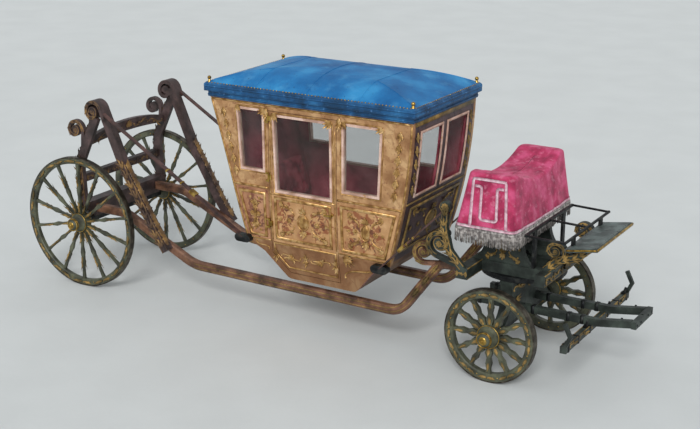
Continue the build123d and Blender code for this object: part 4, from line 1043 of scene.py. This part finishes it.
# Footboard: brass strips along its front edge and its sides, six nailed boards across its frame
board_low, board_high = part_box("footboard")
bm = bmesh.new()
tube(bm, cross_line(board_high.x - 0.004, 0.465, board_high.z - 0.012), 0.013)
for sign in (-1, 1):
    start = Vector((board_low.x + 0.01, sign * (board_high.y - 0.003), board_low.z + 0.016))
    end = Vector((board_high.x - 0.01, start.y, start.z + 0.0487))
    tube(bm, evenly(start, end, 10), 0.011)
put(bm, "footboard_edge", "coach", "brass", "brass")

bm, nails = bmesh.new(), bmesh.new()
slope = math.atan2(0.050, 0.310)
lie = Matrix.Translation(middle_of("footboard")) @ Matrix.Rotation(-slope, 4, "Y")
for i in range(6):
    y = (i - 2.5) * 0.155
    board = lie @ Matrix.Translation((0, y, 0.0165)) @ Matrix.Diagonal((0.296, 0.149, 0.006, 1.0))
    part = bmesh.new()
    bmesh.ops.create_cube(part, size=1.0, matrix=board)
    bmesh.ops.bevel(part, geom=part.edges[:], offset=0.002, segments=1, affect="EDGES")
    join(bm, part)
    for x in (-0.13, 0.13):
        for off in (-0.05, 0.05):
            stud(nails, lie @ Vector((x, y + off, 0.0195)), 0.005, lie.to_3x3() @ UP)
put(bm, "footboard_boards", "coach", "gear_green", "foot_paint", smooth=False)
put(nails, "footboard_nails", "coach", "iron", "iron")

# Fore carriage: carving on the bolster, bands on the futchells and the splinter bar
bm = bmesh.new()
for corner, out in zip(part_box("fore_bolster"), (-1, 1)):
    part = bmesh.new()
    for s in (-1, 1):
        carved_scroll(part, complex(s * 0.10, 0.80), complex(s * 0.36, 0.80), 0.010, s > 0)
        spray(part, complex(s * 0.30, 0.66), math.pi / 2 + s * 0.4, 0.10, 0.018, 5, 1.8)
    rosette(part, Vector((0, 0, 0.79)), 0.055)
    stand_across(bm, part, corner.x, out)
put(bm, "bolster_carving", "fore_carriage", "gear_green", "gear_gilding")

SPLINTER_X, SPLINTER_Z = FRONT_X + 0.764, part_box("splinter_bar")[0].z + 0.033
futchell_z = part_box("futchells")[1].z
bm = bmesh.new()
for s in (-1, 1):
    for x in (-0.36, 0.20, 0.56, 0.70):
        collar(bm, Vector((FRONT_X + x, s * 0.19, 0.585)), 0.0302, 0.0352, 0.035, 0.004)
    for x, drop in ((0.10, 0.052), (0.90, 0.052), (1.08, 0)):
        stud(bm, Vector((FRONT_X + x, s * 0.19, futchell_z - drop)), 0.012, UP)
    for y in (0.10, 0.205):
        stud(bm, Vector((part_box("pole_jaw")[1].x, s * y, middle_of("pole_jaw").z)), 0.013, AHEAD)
    for y in (0.235, 0.52, 0.76):
        collar(bm, Vector((SPLINTER_X, s * y, SPLINTER_Z)), 0.0302, 0.0332, 0.030, 0.004, math.pi / 2)
put(bm, "fore_carriage_bands", "fore_carriage", "iron", "iron")

# Splinter bar: a carved run between its bands on the front face, gilt beads along its upper edges
bm = bmesh.new()
part = bmesh.new()
for s in (-1, 1):
    for low, high in ((0.27, 0.49), (0.55, 0.73)):
        carved_scroll(part, complex(s * low, SPLINTER_Z), complex(s * high, SPLINTER_Z), 0.006, s > 0)
carved_scroll(part, complex(-0.19, SPLINTER_Z), complex(0.19, SPLINTER_Z), 0.007, leaves=False)
stand_across(bm, part, SPLINTER_X + 0.030)
for x in (SPLINTER_X - 0.027, SPLINTER_X + 0.027):
    tube(bm, cross_line(x, 0.79, SPLINTER_Z + 0.032), 0.0045)
put(bm, "splinter_bar_carving", "fore_carriage", "gear_green", "gear_gilding")


# Wheels: bands and cap on the nave, leaves on the spokes, nails in the felloes

def wheel_dressing(nave, felloe, felloe_half, spokes, spoke_half):
    """Two meshes for one wheel, about its own middle with its outer face ahead in y: brass, and carving."""
    brass, carving = bmesh.new(), bmesh.new()
    for y, radius, thick in ((0.044, nave, 0.005), (-0.044, nave, 0.005), (0.120, nave * 0.62, 0.005),
                             (0.142, nave * 0.63, 0.007)):
        tube(brass, flat([way * radius for way in turns(36)], y), thick, closed=True)
    ball(brass, LEFT * 0.160, nave * 0.40, 0.35)
    rosette(brass, LEFT * 0.168, nave * 0.30)
    reach = felloe - nave
    gap = felloe * math.tau / spokes
    leaf_width = 0.030 * (spoke_half / 0.016) ** 0.5
    for way in turns(spokes):
        way *= 1j
        half_way = way * cmath.rect(1.0, math.pi / spokes)
        for out in (1, -1):
            for start, length, width in ((nave + 0.01, 0.26, 0.5), (nave + 0.01 + 0.5 * reach, 0.28, 0.34)):
                leaf(carving, xz(way * start, out * spoke_half), way * length * reach, leaf_width * width,
                     out * LEFT, 0.10)
            stud(brass, xz(half_way * felloe, out * felloe_half), 0.008, out * LEFT)
            stud(brass, xz(way * (felloe + 0.012), out * felloe_half), 0.007, out * LEFT)
        for turn in (-1, 1):
            root = way * felloe * cmath.exp(1j * turn * 0.02)
            leaf(carving, xz(root, felloe_half), way * 1j * turn * gap * 0.40, 0.015, LEFT, 0.05)
    return brass, carving


# axle, wheel radius; nave radius, middle of the felloe, its half width, spokes, half thickness of a spoke
for prefix, axle_x, radius, *sizes in (("rear", REAR_X, 0.745, 0.105, 0.700, 0.030, 14, 0.015),
                                       ("front", FRONT_X, 0.463, 0.112, 0.412, 0.038, 12, 0.021)):
    tyre_y = middle_of(f"{prefix}_left_tyre").y
    for side, sign in SIDES.items():
        brass, carving = wheel_dressing(*sizes)
        for bm, name, slot, finish in ((brass, "nave_brass", "brass", "brass"),
                                       (carving, "wheel_carving", "wheel_wood", "gear_gilding")):
            for v in bm.verts:
                v.co = Vector((axle_x + v.co.x, sign * (tyre_y + v.co.y), radius + v.co.z))
            put(bm, f"{prefix}_{side}_{name}", f"{prefix}_{side}_wheel", slot, finish)

# Braces, each from the body to its standard: a brass buckle and two keepers, where the leather doubles back
bm = bmesh.new()
for start, end in ((complex(COACH_X + 0.800, 0.880), complex(transom_x - 0.115, 1.620)),
                   (complex(COACH_X - 0.830, 0.930), complex(REAR_X + 0.326, 2.030))):
    along = xz((end - start) / abs(end - start))
    turn = Matrix((along, LEFT, along.cross(LEFT))).transposed().to_4x4()
    for sign in (-1, 1):
        for share, length, thick in ((0.34, 0.085, 0.008), (0.42, 0.020, 0.004), (0.52, 0.020, 0.004)):
            part = bmesh.new()
            collar(part, Vector(), 0.0255, 0.0075, length, thick)
            if length > 0.05:
                tube(part, [Vector((-0.04, 0, 0.015)), Vector((0, 0, 0.019)), Vector((0.042, 0, 0.015))], 0.005)
            at = xz(start + (end - start) * share, sign * (STANDARD_OUT - 0.025))
            bmesh.ops.transform(part, matrix=Matrix.Translation(at) @ turn, verts=part.verts)
            join(bm, part)
put(bm, "brace_buckles", "coach", "brass", "brass", smooth=False)


# Hammercloth: velvet tailored over the seat box, hanging in slight folds, with braid and bullion fringe

random.seed(17)
CLOTH_HEAD, CLOTH_HEM = 1.990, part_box("hammercloth")[0].z
DROP = CLOTH_HEAD - CLOTH_HEM
CORNER = 0.06
DISH_DEPTH = 0.120
DISH_RADIUS = (0.5**2 + DISH_DEPTH**2) / (2 * DISH_DEPTH)
EDGE_DROP = 0.020
# half width, back and front of the cloth's edge, at its head and at its hem
cloth_head = (0.620, -0.330, 0.121)
cloth_hem = (0.678, -0.427, 0.182)
waves = [(rate, random.uniform(0, math.tau), random.uniform(0.5, 1.0)) for rate in (7, 12, 17, 26)]


def edge_of_cloth(u, t):
    """Point of the cloth's edge, u of the way round it and t of the way down, and the outward direction."""
    half, back, front = (a + (b - a) * t for a, b in zip(cloth_head, cloth_hem))
    middle = complex((front + back) / 2, 0)
    x, y = (front - back) / 2 - CORNER, half - CORNER
    runs = [2 * y, CORNER * math.pi / 2, 2 * x, CORNER * math.pi / 2] * 2
    starts = laid(0, (x + CORNER, -y), (x, y), (x, y + CORNER), (-x, y), (-x - CORNER, y), (-x, -y),
                  (-x, -y - CORNER), (x, -y))
    left = u % 1.0 * sum(runs)
    for i, (run, start) in enumerate(zip(runs, starts)):
        if left <= run or i == 7:
            break
        left -= run
    heading = 1j ** (i // 2 + 1)
    if i % 2:
        out = heading * -1j * cmath.exp(1j * left / CORNER)
        return middle + start + out * CORNER, out
    return middle + start + heading * left, heading * -1j


def dish_z(y):
    """Height of the seat's top: low in the middle, flat at both ends."""
    rise = DISH_RADIUS - math.sqrt(DISH_RADIUS**2 - min(abs(y), 0.6) ** 2)
    return min(CLOTH_HEAD, CLOTH_HEAD - DISH_DEPTH + rise)


def skirt_point(u, t, lift=0.0):
    """A point of the skirt, u of the way round and t of the way from the seat's dished edge to the hem."""
    head = dish_z(edge_of_cloth(u, 0.0)[0].imag) - EDGE_DROP
    z = head + (CLOTH_HEM - head) * t
    at, out = edge_of_cloth(u, (CLOTH_HEAD - z) / DROP)
    fold = sum(size * math.sin(math.tau * rate * u + turn + 0.7 * t) for rate, turn, size in waves) / 3
    at += out * ((0.001 + 0.011 * t**1.4) * (fold + 0.55) + lift)
    return Vector((FRONT_X + at.real, at.imag, z + 0.004 * fold * t))


def top_point(u, share):
    """A point of the seat's top: share 0 on the line along its middle, 1 on its edge."""
    rim = skirt_point(u, 0.0)
    at = complex(rim.x - FRONT_X, rim.y)
    half, back, front = cloth_head
    spine = complex((front + back) / 2, max(-half + 0.22, min(half - 0.22, at.imag)))
    at = spine + (at - spine) * share
    soft = 0.5 - 0.5 * math.cos(math.pi * min(1.0, (1 - share) / 0.35))
    ripple = 0.003 * math.sin(at.imag * 34 + 3 * math.sin(at.real * 17)) * soft
    edge_drop = EDGE_DROP * max(0.0, (share - 0.90) / 0.10) ** 2
    return Vector((FRONT_X + at.real, at.imag, dish_z(at.imag) - 0.004 * (1 - soft) - edge_drop + ripple))


AROUND = 260
bm = bmesh.new()
ring = bmesh.ops.create_circle(bm, segments=AROUND, radius=1.0)["verts"]
ring_edges = list({e for v in ring for e in v.link_edges})
for i, v in enumerate(ring):
    v.co = top_point(i / AROUND, 0.0)
rows = [(top_point, share) for share in (0.12, 0.25, 0.38, 0.5, 0.62, 0.74, 0.84, 0.91, 0.96, 0.985, 1.0)]
rows += [(skirt_point, i / 20) for i in range(1, 21)]
for point, share in rows:
    made = bmesh.ops.extrude_edge_only(bm, edges=ring_edges)["geom"]
    ring_edges = [g for g in made if isinstance(g, bmesh.types.BMEdge)
                  and all(len(v.link_faces) < 3 for v in g.verts)]
    for i, v in enumerate(list(bm.verts)[-AROUND:]):
        v.co = point(i / AROUND, share)
cloth_area = sum(f.calc_area() for f in bm.faces)
hammercloth = put(bm, "hammercloth_velvet", "coach", "hammercloth", "hammercloth")
thick = hammercloth.modifiers.new("cloth", "SOLIDIFY")
thick.thickness = 0.005
thick.offset = -1.0
soft = hammercloth.modifiers.new("smooth", "SUBSURF")
soft.levels = soft.render_levels = 1

# lengths of the edge's straight runs and of a corner's turn, and the whole way round
half, back, front = cloth_head
x_run, y_run, turn_run = (front - back) - 2 * CORNER, 2 * (half - CORNER), CORNER * math.pi / 2
ROUND = 2 * (x_run + y_run + 2 * turn_run)


def ribbon(bm, line, width, thick=0.003):
    """Braid laid on the cloth along a line: metres round the edge across, metres from the hem upward."""
    grid = bmesh.ops.create_grid(bm, x_segments=len(line) - 1, y_segments=1, size=0.5)["verts"]
    edges = {-1: beside(line, -width / 2), 1: beside(line, width / 2)}
    for v in grid:
        at = edges[1 if v.co.y > 0 else -1][round((v.co.x + 0.5) * (len(line) - 1))]
        v.co = skirt_point(at.real / ROUND, 1 - at.imag / DROP, 0.0025 + thick)
    bmesh.ops.solidify(bm, geom=list({f for v in grid for f in v.link_faces}), thickness=thick)


# Braid: a band above the hem, and on each end of the seat a frame with a loop inside it
BRAID = 0.026
HEM_BRAID_Z = 0.036
bm = bmesh.new()
ribbon(bm, stepped(laid(0, (0, HEM_BRAID_Z), (ROUND, HEM_BRAID_Z)), 0.01), BRAID)
for start in (y_run + turn_run, 2 * y_run + 3 * turn_run + x_run):
    left, right = start + 0.005, start + x_run - 0.005
    foot, head = HEM_BRAID_Z, DROP - 0.035
    ribbon(bm, stepped(eased(laid(0, (left, foot), (left, head), (right, head), (right, foot)), 0.02)), BRAID)
    arm, head, foot = 0.085, DROP - 0.105, 0.115
    loop = laid(0, (left + 0.02, head), (left + arm, head), (left + arm, foot), (right - arm, foot),
                (right - arm, head), (right - 0.02, head))
    ribbon(bm, stepped(eased(loop, 0.035)), BRAID)
galloon = put(bm, "hammercloth_galloon", "coach", "fringe", "braid")

bm = bmesh.new()
ribbon(bm, stepped(laid(0, (0, 0.009), (ROUND, 0.009)), 0.01), BRAID, 0.004)
FRINGE, STRANDS = 0.135, 460
for i in range(STRANDS):
    at, out = edge_of_cloth(i / STRANDS, 1.0)
    out = Vector((out.real, out.imag, 0))
    root = skirt_point(i / STRANDS, 1.0) + out * 0.004
    length = FRINGE * random.uniform(0.93, 1.04)
    sway = out * random.uniform(-0.006, 0.008) + UP.cross(out) * random.uniform(-0.005, 0.005)
    tube(bm, [root, root + sway * 0.4 - UP * length * 0.5, root + sway - UP * length], [0.0034, 0.0042, 0.0036])
fringe = put(bm, "bullion_fringe", "coach", "fringe", "fringe")
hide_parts("hammercloth")
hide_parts("hammercloth_fringe")


# Cushions inside: stuffed velvet, swollen by simulation, then buttoned

SWELL_CAP = 0.012
BUTTON_DEPTH, BUTTON_REACH = 0.020, 0.035
CUSHION_GAP = 0.012


def swell(piece):
    """Blows a cushion up as cloth under pressure, and caps how far a point may move."""
    remesh = piece.modifiers.new("remesh", "REMESH")
    remesh.mode = "VOXEL"
    remesh.voxel_size = 0.013
    scene = bpy.context.scene
    graph = bpy.context.evaluated_depsgraph_get()
    mesh = bpy.data.meshes.new_from_object(piece.evaluated_get(graph))
    piece.modifiers.clear()
    piece.data = mesh
    before = [v.co.copy() for v in mesh.vertices]
    cloth = piece.modifiers.new("cloth", "CLOTH")
    cloth.settings.use_pressure = True
    cloth.settings.uniform_pressure_force = 4.0
    cloth.settings.effector_weights.gravity = 0.0
    for step in range(1, 21):
        scene.frame_set(step)
    graph = bpy.context.evaluated_depsgraph_get()
    after = piece.evaluated_get(graph).to_mesh()
    moved = [v.co.copy() for v in after.vertices]
    piece.evaluated_get(graph).to_mesh_clear()
    piece.modifiers.clear()
    scene.frame_set(1)
    for v, start, end in zip(mesh.vertices, before, moved):
        step = end - start
        v.co = start + step * min(1.0, SWELL_CAP / max(step.length, 1e-9))


def cushion(name, node, low, high, buttons, curve=None, way=0):
    """A cushion between two corners, drawn in at its edges, swollen and buttoned. A back cushion slides along
    its wall's curve, and its buttons are pressed in on the side that looks its way; a seat's on its top."""
    bm = bmesh.new()
    bmesh.ops.create_cube(bm, size=1.0)
    bmesh.ops.subdivide_edges(bm, edges=bm.edges[:], cuts=9, use_grid_fill=True)
    size, middle = high - low, (low + high) / 2
    for v in bm.verts:
        p = v.co * 2
        flatness = [1 - 0.10 * (p[(k + 1) % 3] ** 4 + p[(k + 2) % 3] ** 4) / 2 for k in range(3)]
        v.co = Vector([middle[k] + p[k] * flatness[k] * (size[k] / 2 - 0.006) for k in range(3)])
    piece = put(bm, name, "coach", "crimson_velvet", "crimson_velvet")
    swell(piece)
    for v in piece.data.vertices:
        for at in buttons:
            far = math.hypot(v.co.y - at.y, v.co.z - at.z if curve else v.co.x - at.x)
            depth = BUTTON_DEPTH * math.exp(-(far / BUTTON_REACH) ** 2)
            if not curve and v.co.z > middle.z:
                v.co.z -= depth
            if curve and (v.co.x - middle.x) * way > 0:
                v.co.x -= depth * way
        if curve:
            v.co.x += face_at(curve, v.co.z) - face_at(curve, middle.z)
        v.co.x = max(low.x - 0.08, min(high.x + 0.08, v.co.x))
    for face in piece.data.polygons:
        face.use_smooth = True
        face.material_index = 0
    soft = piece.modifiers.new("smooth", "SUBSURF")
    soft.levels = soft.render_levels = 1
    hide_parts(node)


seat_low, seat_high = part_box("seat_cushions")
back_low, back_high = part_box("back_cushions")
rows_y = (-0.36, -0.12, 0.12, 0.36)
for name, low_x, high_x in (("rear", seat_low.x + CUSHION_GAP, COACH_X - 0.293),
                            ("front", COACH_X + 0.373, seat_high.x - CUSHION_GAP)):
    low = Vector((low_x, seat_low.y + CUSHION_GAP, seat_low.z + 0.001))
    high = Vector((high_x, seat_high.y - CUSHION_GAP, seat_high.z - 0.004))
    middle_x = (low_x + high_x) / 2
    spots = [Vector((x, y, 0)) for x in (middle_x - 0.11, middle_x + 0.11) for y in rows_y]
    cushion(f"{name}_seat_cushion", "seat_cushions", low, high, spots)
for name, curve, way in (("rear", REAR_CURVE, 1), ("front", FRONT_CURVE, -1)):
    wall_x = face_at(curve, middle_of("back_cushions").z) + way * (WALL + 0.004)
    ends = sorted((wall_x, wall_x + way * 0.088))
    low = Vector((ends[0], back_low.y + CUSHION_GAP, back_low.z + 0.006))
    high = Vector((ends[1], back_high.y - CUSHION_GAP, back_high.z - 0.006))
    spots = [Vector((0, y, z)) for z in (1.25, 1.44) for y in rows_y]
    cushion(f"{name}_back_cushion", "back_cushions", low, high, spots, curve, way)


# Camera: the photograph's place, aimed at the coach
camera_data = bpy.data.cameras.new("camera")
camera_data.lens = 68.0
camera_data.sensor_width = 36.0
camera = placed("camera", camera_data)
camera.location = (7.0775, -11.252, 5.297)
aim = Vector((0.3, 0.0, 1.13)) - camera.location
camera.rotation_euler = aim.to_track_quat("-Z", "Y").to_euler()
bpy.context.scene.camera = camera

# Floor: pale matt paint, a little uneven
f = begin("pale_floor_paint", ("#C9CCCB", "#CBCECD", "#CDD0CF"), 900, 40, 0.75)
f.tree.nodes["Map Range"].inputs["To Min"].default_value = 0.97
f.tree.nodes["Map Range"].inputs["To Max"].default_value = 1.03
mats["floor_paint"] = close(f, 0.1, 0.2)
bm = bmesh.new()
bmesh.ops.create_grid(bm, x_segments=1, y_segments=1, size=60)
floor_mesh = bpy.data.meshes.new("studio_floor")
bm.to_mesh(floor_mesh)
bm.free()
floor_mesh.materials.append(mats["floor_paint"])
floor = placed("studio_floor", floor_mesh)

# Light: an even sky, and one broad soft lamp from the right, high up, that also falls into the cabin
world = bpy.data.worlds.new("studio")
bpy.context.scene.world = world
world.use_nodes = True
sky = world.node_tree.nodes["Background"]
sky.inputs["Color"].default_value = srgb("#E8ECEF")
sky.inputs["Strength"].default_value = 0.75
sun_data = bpy.data.lights.new("key", "SUN")
sun_data.energy = 2.1
sun_data.angle = 0.35
sun = placed("key", sun_data)
sun.rotation_euler = Vector((-0.30, 0.77, -0.56)).to_track_quat("-Z", "Y").to_euler()

bpy.context.scene.view_settings.view_transform = "Standard"
